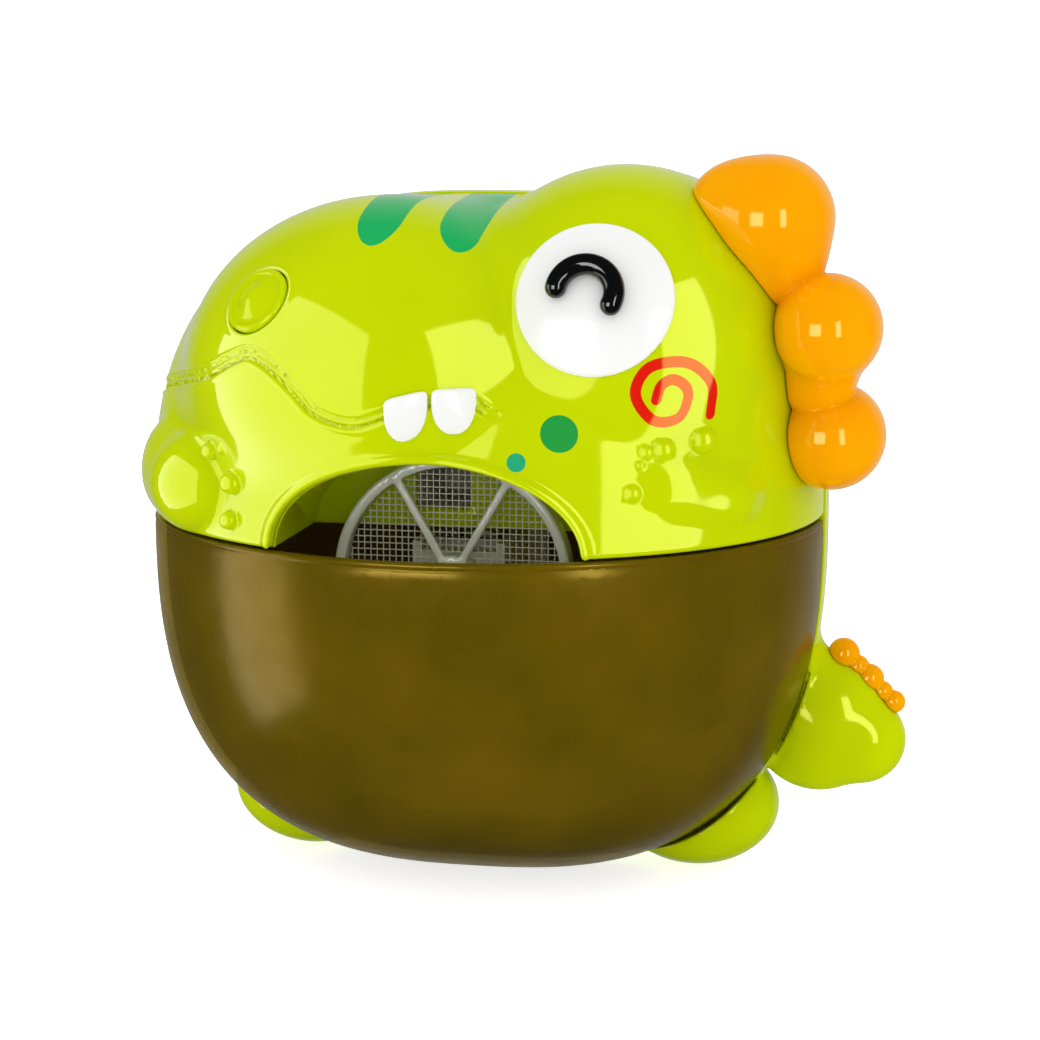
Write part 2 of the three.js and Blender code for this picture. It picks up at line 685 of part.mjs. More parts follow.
function shaftBush() {
  const sleeve = ring(4, SHAFT_RADIUS + GAP, RIM_Y + 3, RIM_Y - 0.6, 0, WHEEL_Z);
  return sleeve.add(ring(6, SHAFT_RADIUS + GAP, RIM_Y + 4, RIM_Y + 2.5, 0, WHEEL_Z));
}

// A small can motor with flats above and below, and a blind hole where its shaft runs.
function smallMotor(backY, frontY, x, z) {
  const flats = block(x - 20, x + 20, frontY, backY, z - 7.5, z + 7.5);
  const can = bar(10, backY, frontY, x, z, 24).intersect(flats);
  return can.subtract(bar(1 + GAP, backY + 1, backY - 8, x, z, 12));
}

// ---- Blower ------------------------------------------------------------------------------------

function fanVolute() {
  const outlet = (wall) => block(
    DUCT_MIN_X + wall,
    DUCT_MAX_X - wall,
    VOLUTE_FRONT_Y + wall,
    VOLUTE_BACK_Y - wall,
    FAN_Z - VOLUTE_RADIUS - (wall > 0 ? 5 : 0),
    FAN_Z,
  );
  const casing = bar(VOLUTE_RADIUS, VOLUTE_BACK_Y, VOLUTE_FRONT_Y, FAN_X, FAN_Z, 24).add(outlet(0));
  const chamber = bar(
    VOLUTE_RADIUS - DUCT_WALL,
    VOLUTE_BACK_Y - DUCT_WALL,
    VOLUTE_FRONT_Y + DUCT_WALL,
    FAN_X,
    FAN_Z,
    24,
  );
  const room = chamber.add(outlet(DUCT_WALL));
  const intake = bar(14.5, VOLUTE_FRONT_Y + 4, VOLUTE_FRONT_Y - 4, FAN_X, FAN_Z, 24);
  let cradle = ring(12.2, 10.4, VOLUTE_FRONT_Y - 3, VOLUTE_FRONT_Y - 9, FAN_X, FAN_Z, 24);
  for (let i = 0; i < 3; i += 1) {
    const arm = new THREE.BoxGeometry(6, 9, 3);
    arm.translate(14, VOLUTE_FRONT_Y - 4.4, 0);
    arm.rotateY(i * 2 * Math.PI / 3 + Math.PI / 2);
    arm.translate(FAN_X, 0, FAN_Z);
    cradle = cradle.add(solidOf(arm));
  }
  const core = bar(10.4, VOLUTE_FRONT_Y + 8, VOLUTE_FRONT_Y - 20, FAN_X, FAN_Z, 24);
  return cut(casing, room, intake).add(cradle.subtract(core));
}

function fanImpeller() {
  const backY = VOLUTE_BACK_Y - 2.6;
  const disc = bar(16.5, backY, backY - 1.4, FAN_X, FAN_Z, 28);
  let impeller = disc.add(bar(5, backY, backY - 8, FAN_X, FAN_Z, 16));
  const blades = 10;
  for (let i = 0; i < blades; i += 1) {
    const blade = new THREE.BoxGeometry(9, 9, 1.2);
    blade.translate(12, backY - 5.4, 0);
    blade.rotateY(i * 2 * Math.PI / blades);
    blade.translate(FAN_X, 0, FAN_Z);
    impeller = impeller.add(solidOf(blade));
  }
  return impeller.subtract(bar(FAN_SHAFT_RADIUS + GAP, backY + 1, backY - 12, FAN_X, FAN_Z, 12));
}

// Leads the air down from the volute, then forward into the foam tunnel.
function airDuct() {
  const elbow = (wall, overrun) => join(
    block(
      DUCT_MIN_X + wall, DUCT_MAX_X - wall,
      VOLUTE_FRONT_Y + wall, VOLUTE_BACK_Y - wall,
      DUCT_FLOOR + wall, FAN_Z - VOLUTE_RADIUS - GAP + overrun,
    ),
    block(
      DUCT_MIN_X + wall, DUCT_MAX_X - wall,
      TUNNEL_BACK_Y + GAP - overrun, VOLUTE_BACK_Y - wall,
      DUCT_FLOOR + wall, 17.5 - wall,
    ),
  );
  return elbow(0, 0).subtract(elbow(DUCT_WALL, 2));
}

function addBlower() {
  const motorBackY = VOLUTE_FRONT_Y - 1;
  addPiece('fan_volute', fanVolute(), CREAM_PLASTIC);
  addPiece('fan_impeller', fanImpeller(), CREAM_PLASTIC);
  addPiece('fan_shaft', bar(FAN_SHAFT_RADIUS, VOLUTE_BACK_Y - 2.7, motorBackY - 7, FAN_X, FAN_Z, 12), STEEL);
  addPiece('fan_motor', smallMotor(motorBackY, motorBackY - 23, FAN_X, FAN_Z), STEEL);
  addPiece('air_duct', airDuct(), CREAM_PLASTIC);
}

// ---- Power, sound and fastenings ---------------------------------------------------------------

function batteryTray() {
  const wall = 1.4;
  const inside = DOOR_HALF_WIDTH - wall;
  const outer = block(-DOOR_HALF_WIDTH, DOOR_HALF_WIDTH, RIM_Y + GAP, -3, DOOR_BOTTOM, DOOR_TOP);
  const room = block(-inside, inside, RIM_Y + GAP + wall, 0, DOOR_BOTTOM + 1.2, DOOR_TOP - 1.2);
  const boss = block(DOOR_SCREW_X - 2, DOOR_SCREW_X + 2.8, -5.4, -3, DOOR_SCREW_Z - 2.6, DOOR_SCREW_Z + 2.6);
  const bore = bar(1.4, 0, -8, DOOR_SCREW_X, DOOR_SCREW_Z, 12);
  return outer.subtract(room).add(boss).subtract(bore);
}

function batteryDoor() {
  const panel = block(-DOOR_HALF_WIDTH, DOOR_HALF_WIDTH, -2.4, -0.1, DOOR_BOTTOM, DOOR_TOP);
  const recess = bar(3.1, 1, -1.7, DOOR_SCREW_X, DOOR_SCREW_Z, 16);
  return cut(panel, recess, bar(1.5, 1, -4, DOOR_SCREW_X, DOOR_SCREW_Z, 12));
}

function cell(z, direction) {
  const half = CELL_LENGTH / 2;
  const shoulder = half - 1.5;
  const button = 2.6;
  const can = [[0, -half], [CELL_RADIUS, -half], [CELL_RADIUS, shoulder]];
  const cap = [[button, shoulder], [button, half], [0, half]];
  const points = [...can, ...cap].map(([radius, along]) => new THREE.Vector2(radius, along));
  const geometry = new THREE.LatheGeometry(points, 18);
  geometry.rotateZ(-direction * Math.PI / 2);
  geometry.translate(0, CELL_Y, z);
  return solidOf(geometry);
}

function contactSpring(z, direction) {
  const points = [];
  const turns = 2;
  const steps = 10 * turns;
  for (let i = 0; i <= steps; i += 1) {
    const angle = 2 * Math.PI * turns * i / steps;
    const radius = 3.6 - 1.4 * i / steps;
    points.push(new THREE.Vector3(
      -direction * (29 - 3 * i / steps),
      CELL_Y + radius * Math.cos(angle),
      z + radius * Math.sin(angle),
    ));
  }
  const section = new THREE.Shape().absarc(0, 0, 0.3, 0, 2 * Math.PI);
  const path = new THREE.CatmullRomCurve3(points);
  const settings = { steps: 24, extrudePath: path, curveSegments: 2, bevelEnabled: false };
  return solidOf(new THREE.ExtrudeGeometry(section, settings));
}

function contactPlate(z, direction) {
  const nearX = direction * 29.6;
  const farX = direction * 28.4;
  return block(Math.min(nearX, farX), Math.max(nearX, farX), CELL_Y - 5, CELL_Y + 5, z - 5, z + 5);
}

function addBatteries() {
  for (let i = 0; i < 3; i += 1) {
    const z = CELL_MIDDLE_Z + (i - 1) * CELL_PITCH;
    const direction = i % 2 === 0 ? 1 : -1;
    addPiece(`battery_${i + 1}`, cell(z, direction), [0x2a2d33, 0.35]);
    addPiece(`contact_spring_${i + 1}`, contactSpring(z, direction), STEEL);
    addPiece(`contact_plate_${i + 1}`, contactPlate(z, direction), STEEL);
  }
}

// A mushroom head inside the back plate, a neck through it, and the dish that grips the wall.
function suctionCup(x, z) {
  const head = [[0, -5.6], [4.4, -5.2], [4.4, -2.9], [2.8, -2.9]];
  const dish = [[2.8, 2.4], [10, 4.6], [15, 8.2], [15, 9], [13.6, 9], [9, 6.6], [0, 5.6]];
  return turned([...head, ...dish], x, z);
}

function screw(x, z, headBackY, tipY) {
  const shank = 1.1;
  const head = 2.6;
  const underHead = headBackY - 1.2;
  const shaft = [[0, tipY], [shank, tipY + 1], [shank, underHead]];
  const cap = [[head, underHead], [head, headBackY], [0, headBackY]];
  return turned([...shaft, ...cap], x, z, 10);
}

function circuitBoard() {
  const board = block(34, 72, -8.6, -7, -22, 10);
  const chip = block(48, 58, -9.6, -8.5, -10, 0);
  return board.add(chip);
}

function speaker() {
  return bar(12.5, -4.4, -7, SPEAKER_X, SPEAKER_Z, 24).add(bar(7, -6.9, -11, SPEAKER_X, SPEAKER_Z, 18));
}

function addFastenings() {
  SUCTION_CUPS.forEach(([x, z], i) => {
    addPiece(`suction_cup_${i + 1}`, suctionCup(x, z), RUBBER);
  });
  CASE_SCREWS.forEach(([x, z], i) => {
    const tipY = z > 0 ? RIM_Y - 8 : RIM_Y + 1;
    addPiece(`case_screw_${i + 1}`, screw(x, z, RIM_Y + 7.4, tipY), STEEL);
  });
  addPiece('door_screw', screw(DOOR_SCREW_X, DOOR_SCREW_Z, -0.3, -5.3), STEEL);
}

// ---- Assembly ----------------------------------------------------------------------------------

addPiece('front_shell', frontShell(), LIME);
addPiece('rear_housing', rearHousing(), LIME);
addPiece('tank', tank(), TANK_BROWN);
addPiece('crest', crest(), ORANGE);
addPiece('tail_spikes', tailSpikes(), ORANGE);
addPiece('inner_deck', innerDeck(), LIME);
addPiece('partition_plate', partitionPlate(), LIME);
addPiece('eye_white', eyeWhite(), WHITE);
addPiece('eye_arc', eyeArc(), BLACK);
addPiece('tooth_left', tooth(-2, 31.6, 9, 10.6, 0.06), WHITE);
addPiece('tooth_right', tooth(7.7, 32.8, 9.1, 10.3, 0), WHITE);
addPiece('nose_button', noseButton(), LIME);
addPiece('tact_switch', tactSwitch(), BLACK);
addPiece('switch_board', switchBoard(), [0x1f6b3a, 0.5]);
addPiece('wheel_frame', wheelFrame(), WHITE);
addPiece('wheel_mesh', wheelMesh(), WHITE);
addPiece('wheel_axle', wheelAxle(), STEEL);
addPiece('wheel_dog', dog(RIM_Y - 6.6, RIM_Y - 8, RIM_Y - 3.3, RIM_Y - 7, Math.PI / 2), CREAM_PLASTIC);
addPiece('wheel_bracket', wheelBracket(), CREAM_PLASTIC);
addDrive();
addBlower();
addPiece('battery_tray', batteryTray(), LIME);
addPiece('battery_door', batteryDoor(), LIME);
addBatteries();
addPiece('circuit_board', circuitBoard(), [0x1f6b3a, 0.5]);
addPiece('speaker', speaker(), BLACK);
addFastenings();

export default machine;
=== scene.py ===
import math

import bmesh
import bpy
import numpy as np
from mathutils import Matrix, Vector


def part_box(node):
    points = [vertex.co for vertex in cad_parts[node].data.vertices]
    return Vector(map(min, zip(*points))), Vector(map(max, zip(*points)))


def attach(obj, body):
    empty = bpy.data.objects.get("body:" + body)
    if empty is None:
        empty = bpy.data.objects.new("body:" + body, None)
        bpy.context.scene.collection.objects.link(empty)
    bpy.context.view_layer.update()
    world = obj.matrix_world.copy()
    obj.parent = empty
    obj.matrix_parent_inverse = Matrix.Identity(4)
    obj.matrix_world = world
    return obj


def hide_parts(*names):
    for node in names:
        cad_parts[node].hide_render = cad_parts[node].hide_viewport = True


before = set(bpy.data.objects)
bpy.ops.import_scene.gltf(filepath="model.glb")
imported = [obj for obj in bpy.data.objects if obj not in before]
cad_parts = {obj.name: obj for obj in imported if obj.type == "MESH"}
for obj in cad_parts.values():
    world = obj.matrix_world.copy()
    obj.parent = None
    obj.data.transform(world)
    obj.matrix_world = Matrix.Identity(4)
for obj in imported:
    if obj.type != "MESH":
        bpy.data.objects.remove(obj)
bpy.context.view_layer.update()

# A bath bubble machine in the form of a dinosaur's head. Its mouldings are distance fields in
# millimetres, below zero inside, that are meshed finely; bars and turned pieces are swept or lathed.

import openvdb
from mathutils import Vector

MM = 0.001


def box_mm(node):
    """The lowest and highest corners of a CAD node, in millimetres."""
    low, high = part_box(node)
    return np.array(low) / MM, np.array(high) / MM


# ---- Driving dimensions, in millimetres

GAP = 0.3
WALL = 2.6
REAR_LIP = 0.4
TANK_LOW, TANK_HIGH = box_mm("tank")
RIM_Y = TANK_HIGH[1] + GAP
HALF_WIDTH = TANK_HIGH[0]
TANK_DEPTH = -TANK_LOW[2]
FRONT_DEPTH = RIM_Y - TANK_LOW[1]
HEAD_HEIGHT = 76.0
HEAD_SQUARENESS = 2.6
TANK_SQUARENESS = 2.7
BACK_ROUNDING = 26.0
BACK_SQUARENESS = 5.0
BULGE_BLEND = 6.0

# Centre and radii of the ellipsoids that stand out of the head's dome.
SNOUT = ((-17.5, -48, 36), (47.5, 52, 41))
CRANIUM = ((36, -36, 42.5), (40.5, 48, 41.5))
HEAD_BULGES = (SNOUT, CRANIUM)
# The arms stand on the shell: upper arm and hand on the left, then on the right.
ARMS = (
    ((-65, -52, 13), (11, 19, 14)), ((-56, -66, 12), (14, 18, 13)),
    ((56, -57, 11), (15, 16, 12)), ((47, -67, 14.5), (15, 14.5, 13)),
)

# Limbs of the rear housing.
TAIL_Y = -11.5
TAIL_PARTS = (
    ((80.2, TAIL_Y, -52.2), (16.8, 11, 16.8)), ((90.5, TAIL_Y, -55.7), (11, 9.5, 11)),
    ((74.5, TAIL_Y, -42), (9.5, 9, 14)),
)
FEET = (((-46.5, -13, -73), (20.5, 17, 15.5)), ((50.5, -13, -73), (20.5, 17, 15.5)))

# The balls of the tail's spikes: x, z and radius.
TAIL_BALLS = (
    (86.1, -34.8, 3.9), (92.4, -40.7, 3.6), (98.4, -46.2, 2.8), (89.5, -37.9, 2.9), (95.6, -43.8, 2.6),
)

# The crest's three lumps, the lobes that join them, and its backing behind the rim.
CREST_LUMPS = (
    ((71, -45.8, 72.6), (14.4, 18, 14.4)), ((84.5, -49.7, 48.3), (12.5, 15.6, 12.5)),
    ((84.5, -35.8, 22), (12.6, 15.6, 12.6)),
)
CREST_LOBES = (
    ((61.3, -45.5, 75), (9.1, 9.1, 9.1)), ((73.5, -47, 61), (8.8, 8.8, 8.8)),
    ((81.5, -41.5, 35.5), (8.8, 8.8, 8.8)),
)
CREST_BACKING = [(centre, (11, 11, 11)) for centre in ((66, -27, 67), (79, -27, 44), (80.5, -26, 21))]

# Knuckles at the end of each arm: x, y, z and radius.
KNUCKLES = (
    (-51.3, -81.6, 20.9, 2.0), (-47.6, -84.3, 21.9, 1.3), (-45.6, -84.4, 14.2, 2.6), (-46.4, -84.2, 5.6, 2.1),
    (59.2, -71.6, 25.2, 3.1), (51.4, -77.6, 23.6, 2.6), (48.1, -79.7, 23.2, 1.6), (46.9, -80.9, 20.4, 1.0),
    (45.4, -82.6, 14.4, 2.0),
)

OUTLET_HALF_WIDTH = 35.0
OUTLET_HEIGHT = 21.0
OUTLET_FOOT = 0.6
CASE_SCREWS = ((-64, 38), (66, 38), (-56, -45), (56, -45))
CUP_BOXES = [box_mm(f"suction_cup_{i}") for i in (1, 2, 3, 4)]
SUCTION_CUPS = [((low + high) / 2)[[0, 2]] for low, high in CUP_BOXES]

EYE_X, EYE_Z = 36.3, 57.6
EYE_NORMAL = (0.05, -0.92, 0.38)
EYE_RADIUS = 17.6
EYE_RIM_HEIGHT = -2.6
EYE_CROWN = 3.7
NOSE_X, NOSE_Z = -38.1, 55.9
NOSE_NORMAL = (-0.41, -0.72, 0.56)
NOSE_RADIUS = 7.9

# The line of the mouth as x and z, from the left end over the peak to the right end.
MOUTH = (
    (-79, 28.5), (-72, 33), (-51.5, 39.8), (-44, 43.5), (-38, 45.5), (-31.5, 42.8), (-26, 38.4),
    (-20.5, 33.4), (-13, 31.5), (-5.5, 33.7), (4, 36.3), (10.5, 36.1), (15, 33.5),
)
MOUTH_LOW, MOUTH_HIGH, MOUTH_END = 22, 56, 26
# How far the lip's two bands are below that line.
UPPER_BAND, LOWER_BAND = 0.3, 1.9
MOUTH_FADE_IN, MOUTH_FADE_OUT = 0.025, 0.06
SWIRL_X, SWIRL_Z = 53.5, 36.6
SWIRL_NORMAL = (0.49, -0.86, -0.16)
# The cheek's swirl as across and upward, wound from the inside out.
SWIRL = (
    (-3.5, -1.7), (-2.6, 1.4), (0, 2.8), (3, 1.3), (4, -1.6), (2, -6.1), (-4, -6.3), (-8.2, -0.4),
    (-5.2, 5.6), (3.5, 6.3), (9.7, 1.2), (10.1, -6),
)
SWIRL_HALF_LINE = 1.22
# Each stripe's front end, x, drift and half width, how fast it widens, and the length of its round cap.
STRIPES = ((-80.8, -13.9, 0.0, 4.9, 0.012, 12.0), (-74.4, 3.4, -0.03, 4.1, 0.03, 9.0))
# The two dots' x, z and radius.
GREEN_DOT = (30.1, 27.9, 4.2)
TEAL_DOT = (21.4, 21.9, 2.1)
# Each tooth's x and z, width, height and the slope of its gum.
TEETH = {"tooth_left": (-2.0, 31.6, 9.0, 10.6, 0.22), "tooth_right": (7.7, 32.8, 9.1, 10.3, 0.0)}


# ---- Distance fields

def smooth_max(a, b, blend):
    overlap = np.maximum(blend - np.abs(a - b), 0) / blend
    return np.maximum(a, b) + overlap * overlap * (blend / 4)


def smooth_min(a, b, blend):
    return -smooth_max(-a, -b, blend)


def union(parts, blend):
    whole = None
    for part in parts:
        whole = part if whole is None else smooth_min(whole, part, blend)
    return whole


def radial(p):
    """Distance of each point from the body's centre, and the direction to it."""
    dx, dy, dz = p[0], p[1] - RIM_Y, p[2]
    r = np.sqrt(dx * dx + dy * dy + dz * dz) + 1e-6
    return r, (dx / r, dy / r, dz / r)


def dome_radius(u, squareness, height):
    side = np.abs(u[0] / HALF_WIDTH) ** squareness
    rise = np.abs(u[2] / height) ** squareness
    return 1 / np.sqrt((side + rise) ** (2 / squareness) + (u[1] / FRONT_DEPTH) ** 2)


def bulge_radius(u, bulge):
    """Distance from the body's centre to the far side of an ellipsoid, or 0 where it is missed."""
    centre, radii = bulge
    a, b, c = 0, 0, -1
    for axis, origin in enumerate((0, RIM_Y, 0)):
        step = u[axis] / radii[axis]
        offset = (centre[axis] - origin) / radii[axis]
        a = a + step * step
        b = b + step * offset
        c = c + offset * offset
    discriminant = b * b - a * c
    return np.where(discriminant > 0, (b + np.sqrt(np.maximum(discriminant, 0))) / a, 0)


def head_radius(u):
    reach = dome_radius(u, HEAD_SQUARENESS, HEAD_HEIGHT)
    for bulge in HEAD_BULGES:
        reach = smooth_max(reach, bulge_radius(u, bulge), BULGE_BLEND)
    return reach


def tank_radius(u):
    return dome_radius(u, TANK_SQUARENESS, TANK_DEPTH)


def body_radius(u):
    return np.where(u[2] >= 0, head_radius(u), tank_radius(u))


def head_skin(p):
    r, u = radial(p)
    return r - head_radius(u)


def ellipsoid(p, shape, grow=0.0):
    centre, radii = shape
    k0, k1 = 0, 0
    for axis in range(3):
        q = (p[axis] - centre[axis]) / (radii[axis] + grow)
        k0 = k0 + q * q
        k1 = k1 + (q / (radii[axis] + grow)) ** 2
    k0 = np.sqrt(k0)
    return k0 * (k0 - 1) / (np.sqrt(k1) + 1e-6)


def ball(p, x, y, z, radius):
    return np.sqrt((p[0] - x) ** 2 + (p[1] - y) ** 2 + (p[2] - z) ** 2) - radius


def pillar(p, x, z, radius):
    """An endless round bar along Y."""
    return np.sqrt((p[0] - x) ** 2 + (p[2] - z) ** 2) - radius


def slab(p, low, high, blend=0.0):
    """A block between two corners; None leaves a side open."""
    out = None
    for axis in range(3):
        for limit, sign in ((low[axis], -1), (high[axis], 1)):
            if limit is not None:
                side = sign * (p[axis] - limit)
                if out is None:
                    out = side
                else:
                    out = smooth_max(out, side, blend) if blend else np.maximum(out, side)
    return out


def arch(p, half_width=OUTLET_HALF_WIDTH, height=OUTLET_HEIGHT):
    """The outline of the foam outlet, drawn along Y: below zero inside."""
    rise = height - OUTLET_FOOT
    x = np.abs(p[0]) + 1e-6
    z = np.maximum(p[2] - OUTLET_FOOT, 0)
    k0 = np.sqrt((x / half_width) ** 2 + (z / rise) ** 2)
    k1 = np.sqrt((x / half_width**2) ** 2 + (z / rise**2) ** 2)
    return k0 * (k0 - 1) / k1


def gauss(value, centre, width):
    return np.exp(-(((value - centre) / width) ** 2))


# ---- Places on the head

def head_point(x, z):
    """The point of the head's front at a given x and z."""
    outside, inside = -130.0, RIM_Y
    for _ in range(40):
        y = (outside + inside) / 2
        if head_skin((np.float64(x), np.float64(y), np.float64(z))) > 0:
            outside = y
        else:
            inside = y
    return np.array((x, inside, z))


def standing(anchor, normal):
    """Axes across, upward and outward at a point of the casing that faces along normal."""
    outward = np.array(normal) / np.linalg.norm(normal)
    across = np.cross((0, 0, 1), outward)
    across /= np.linalg.norm(across)
    return np.array(anchor), np.array((across, np.cross(outward, across), outward))


def local(p, place):
    anchor, axes = place
    d = [p[k] - anchor[k] for k in range(3)]
    return [axes[i][0] * d[0] + axes[i][1] * d[1] + axes[i][2] * d[2] for i in range(3)]


def curve_through(points, steps):
    """A smooth curve through points, as rows of coordinates (Catmull-Rom)."""
    c = np.array(points, float)
    c = np.vstack((2 * c[0] - c[1], c, 2 * c[-1] - c[-2]))
    rows = []
    for i in range(1, len(c) - 2):
        for t in np.arange(steps) / steps:
            rows.append(0.5 * (2 * c[i] + (c[i + 1] - c[i - 1]) * t
                               + (2 * c[i - 1] - 5 * c[i] + 4 * c[i + 1] - c[i + 2]) * t**2
                               + (3 * c[i] - c[i - 1] - 3 * c[i + 1] + c[i + 2]) * t**3))
    rows.append(c[-2])
    return np.array(rows)


def along_curve(points, curve):
    """For each point: its distance to the curve, and the share, offset and heading of the curve there."""
    best = np.full(len(points), 1e9)
    share = np.zeros(len(points))
    offset = np.zeros_like(points)
    heading = np.zeros_like(points)
    for i in range(len(curve) - 1):
        a, ab = curve[i], curve[i + 1] - curve[i]
        t = np.clip((points - a) @ ab / (ab @ ab), 0, 1)
        d = points - a - t[:, None] * ab
        length = np.sqrt((d * d).sum(1))
        nearer = length < best
        best[nearer] = length[nearer]
        share[nearer] = (i + t[nearer]) / (len(curve) - 1)
        offset[nearer] = d[nearer]
        heading[nearer] = ab / np.linalg.norm(ab)
    return best, share, offset, heading


EYE_PLACE = standing(head_point(EYE_X, EYE_Z), EYE_NORMAL)
NOSE_PLACE = standing(head_point(NOSE_X, NOSE_Z), NOSE_NORMAL)
SWIRL_PLACE = standing(head_point(SWIRL_X, SWIRL_Z), SWIRL_NORMAL)
MOUTH_CURVE = np.array([head_point(x, z) for x, z in curve_through(MOUTH, 5)])


def mouth_offset(p):
    """Signed distance below the line of the mouth, with how much of the groove is left there."""
    points = np.column_stack([np.ravel(c) for c in p])
    below = np.full(len(points), 99.0)
    strength = np.zeros(len(points))
    x, y, z = points.T
    near = np.where((y < RIM_Y - 1) & (z > MOUTH_LOW) & (z < MOUTH_HIGH) & (x < MOUTH_END))[0]
    if len(near):
        distance, share, offset, heading = along_curve(points[near], MOUTH_CURVE)
        outward = points[near] - (0, RIM_Y, 0)
        side = np.einsum("ij,ij->i", np.cross(heading, outward), offset)
        below[near] = np.where(side > 0, distance, -distance)
        fade = np.clip(share / MOUTH_FADE_IN, 0, 1) * np.clip((1.02 - share) / MOUTH_FADE_OUT, 0, 1)
        strength[near] = fade
    return below.reshape(np.shape(p[0])), strength.reshape(np.shape(p[0]))


def face_relief(p):
    """How far the fine features of the face stand out of the head, in millimetres."""
    across, upward, outward = local(p, NOSE_PLACE)
    from_nose = np.sqrt(across**2 + upward**2)
    relief = np.where(outward > -9, 0.25 * gauss(from_nose, NOSE_RADIUS + 1.2, 0.7), 0)
    below, strength = mouth_offset(p)
    steps = 1.0 * gauss(below, UPPER_BAND, 0.5) + 0.8 * gauss(below, LOWER_BAND, 0.6)
    edges = 0.25 * gauss(below, -0.75, 0.4) + 0.2 * gauss(below, 3.0, 0.5)
    return relief + strength * (edges - steps)


# ---- Solids

def front_shell_field(p, fine=False):
    r, u = radial(p)
    reach = head_radius(u)
    skin = r - reach
    skin = smooth_min(skin, union((ellipsoid(p, arm) for arm in ARMS), 5.0), 1.8)
    for knuckle in KNUCKLES:
        skin = smooth_min(skin, ball(p, *knuckle), 0.7)
    if fine:
        skin = skin - face_relief(p)
    outlet = arch(p)
    bead = np.sqrt(skin**2 + (outlet - 1.2) ** 2) - 1.3
    skin = smooth_min(skin, bead, 1.0)
    skin = smooth_max(skin, GAP - p[2], 1.6)
    solid = np.maximum(smooth_max(skin, -outlet, 1.4), reach - WALL - r)
    across, upward, outward = local(p, NOSE_PLACE)
    hole = np.maximum(np.sqrt(across**2 + upward**2) - NOSE_RADIUS - 0.2, np.abs(outward) - 9)
    return smooth_max(smooth_max(solid, -hole, 0.5), p[1] - RIM_Y + GAP, 0.5)


def tank_field(p):
    r, u = radial(p)
    reach = tank_radius(u)
    skin = smooth_max(r - reach + 0.25 * gauss(p[2], -1.9, 0.5), p[2] + GAP, 0.9)
    inside = np.maximum(r - reach + WALL, p[1] - RIM_Y + GAP + WALL)
    solid = smooth_max(smooth_max(skin, p[1] - RIM_Y + GAP, 0.8), -inside, 0.4)
    notch = np.minimum(pillar(p, 0, -10, 8), slab(p, (-8, None, -10), (8, None, None)))
    notch = np.maximum(notch, RIM_Y - 6 - p[1])
    return smooth_max(solid, -notch, 0.6)


def rim_skin(p, grow=0.0):
    """Distance outside the rim's outline, drawn along Y."""
    r = np.sqrt(p[0] ** 2 + p[2] ** 2) + 1e-6
    u = (p[0] / r, 0 * r, p[2] / r)
    depth = np.clip((p[1] - RIM_Y) / BACK_ROUNDING, 0, 0.98)
    taper = (1 - depth**BACK_SQUARENESS) ** (1 / BACK_SQUARENESS)
    return r - body_radius(u) * taper - grow


def tail_skin(p, grow=0.0):
    root, tip, ridge = (ellipsoid(p, part, grow) for part in TAIL_PARTS)
    return smooth_min(smooth_min(root, tip, 2.0), ridge, 4.0)


def rear_housing_field(p):
    tub = rim_skin(p, REAR_LIP)
    limbs = tail_skin(p)
    for foot in FEET:
        limbs = smooth_min(limbs, ellipsoid(p, foot), 0.8)
    skirt = smooth_max(tub, RIM_Y - p[1], 0.7)
    outer = smooth_min(skirt, limbs, 2.0)
    outer = smooth_max(outer, -np.maximum(rim_skin(p, 0.45), p[1] - RIM_Y), 0.7)
    outer = smooth_max(outer, p[1], 2.4)
    inside = np.maximum(rim_skin(p, REAR_LIP - WALL), p[1] + WALL)
    solid = smooth_max(outer, -inside, 0.4)
    solid = smooth_max(solid, -slab(p, (-31.9, -5, 17.3), (31.9, None, 66.7)), 0.7)
    for x, z in CASE_SCREWS:
        end = RIM_Y + (0.6 if z > 0 else 2.4)
        well = np.maximum(pillar(p, x, z, 4.6), np.maximum(end - p[1], p[1] + 1))
        solid = np.minimum(solid, well)
        bore = np.minimum(np.maximum(pillar(p, x, z, 3.4), RIM_Y + 5 - p[1]), pillar(p, x, z, 1.8))
        solid = smooth_max(solid, -bore, 0.5)
    for x, z in SUCTION_CUPS:
        solid = smooth_max(solid, -pillar(p, x, z, 3.3), 0.6)
        solid = smooth_min(solid, np.abs(np.hypot(pillar(p, x, z, 17), p[1] + 0.2)) - 0.5, 0.5)
    for row in range(-2, 3):
        slot = np.hypot(np.maximum(np.abs(p[0] - 50) - (8 - abs(row) * 1.5), 0), p[2] - 46 - 3.4 * row) - 0.8
        solid = smooth_max(solid, -np.maximum(slot, -8 - p[1]), 0.4)
    return np.maximum(solid, p[1])


def casing_skin(p, grow):
    """The outside of the whole casing, for pieces that sit on it."""
    r, u = radial(p)
    front = np.maximum(r - body_radius(u) - grow, p[1] - RIM_Y)
    return np.minimum(front, np.maximum(rim_skin(p, REAR_LIP + grow), RIM_Y - p[1]))


def crest_field(p):
    corner, upper_neck, lower_neck = (ellipsoid(p, lobe) for lobe in CREST_LOBES)
    top, middle, low = (smooth_min(ellipsoid(p, lump), ellipsoid(p, backing), 4.0)
                        for lump, backing in zip(CREST_LUMPS, CREST_BACKING))
    top = smooth_min(smooth_min(top, corner, 7.0), upper_neck, 7.0)
    middle = smooth_min(middle, lower_neck, 7.0)
    lumps = smooth_min(smooth_min(top, middle, 0.6), low, 0.6)
    return smooth_max(lumps, -casing_skin(p, 0.25), 0.5)


def tail_spike_field(p):
    balls = union((ball(p, x, TAIL_Y, z, radius) for x, z, radius in TAIL_BALLS), 0.35)
    return smooth_max(balls, -tail_skin(p, 0.12), 0.4)


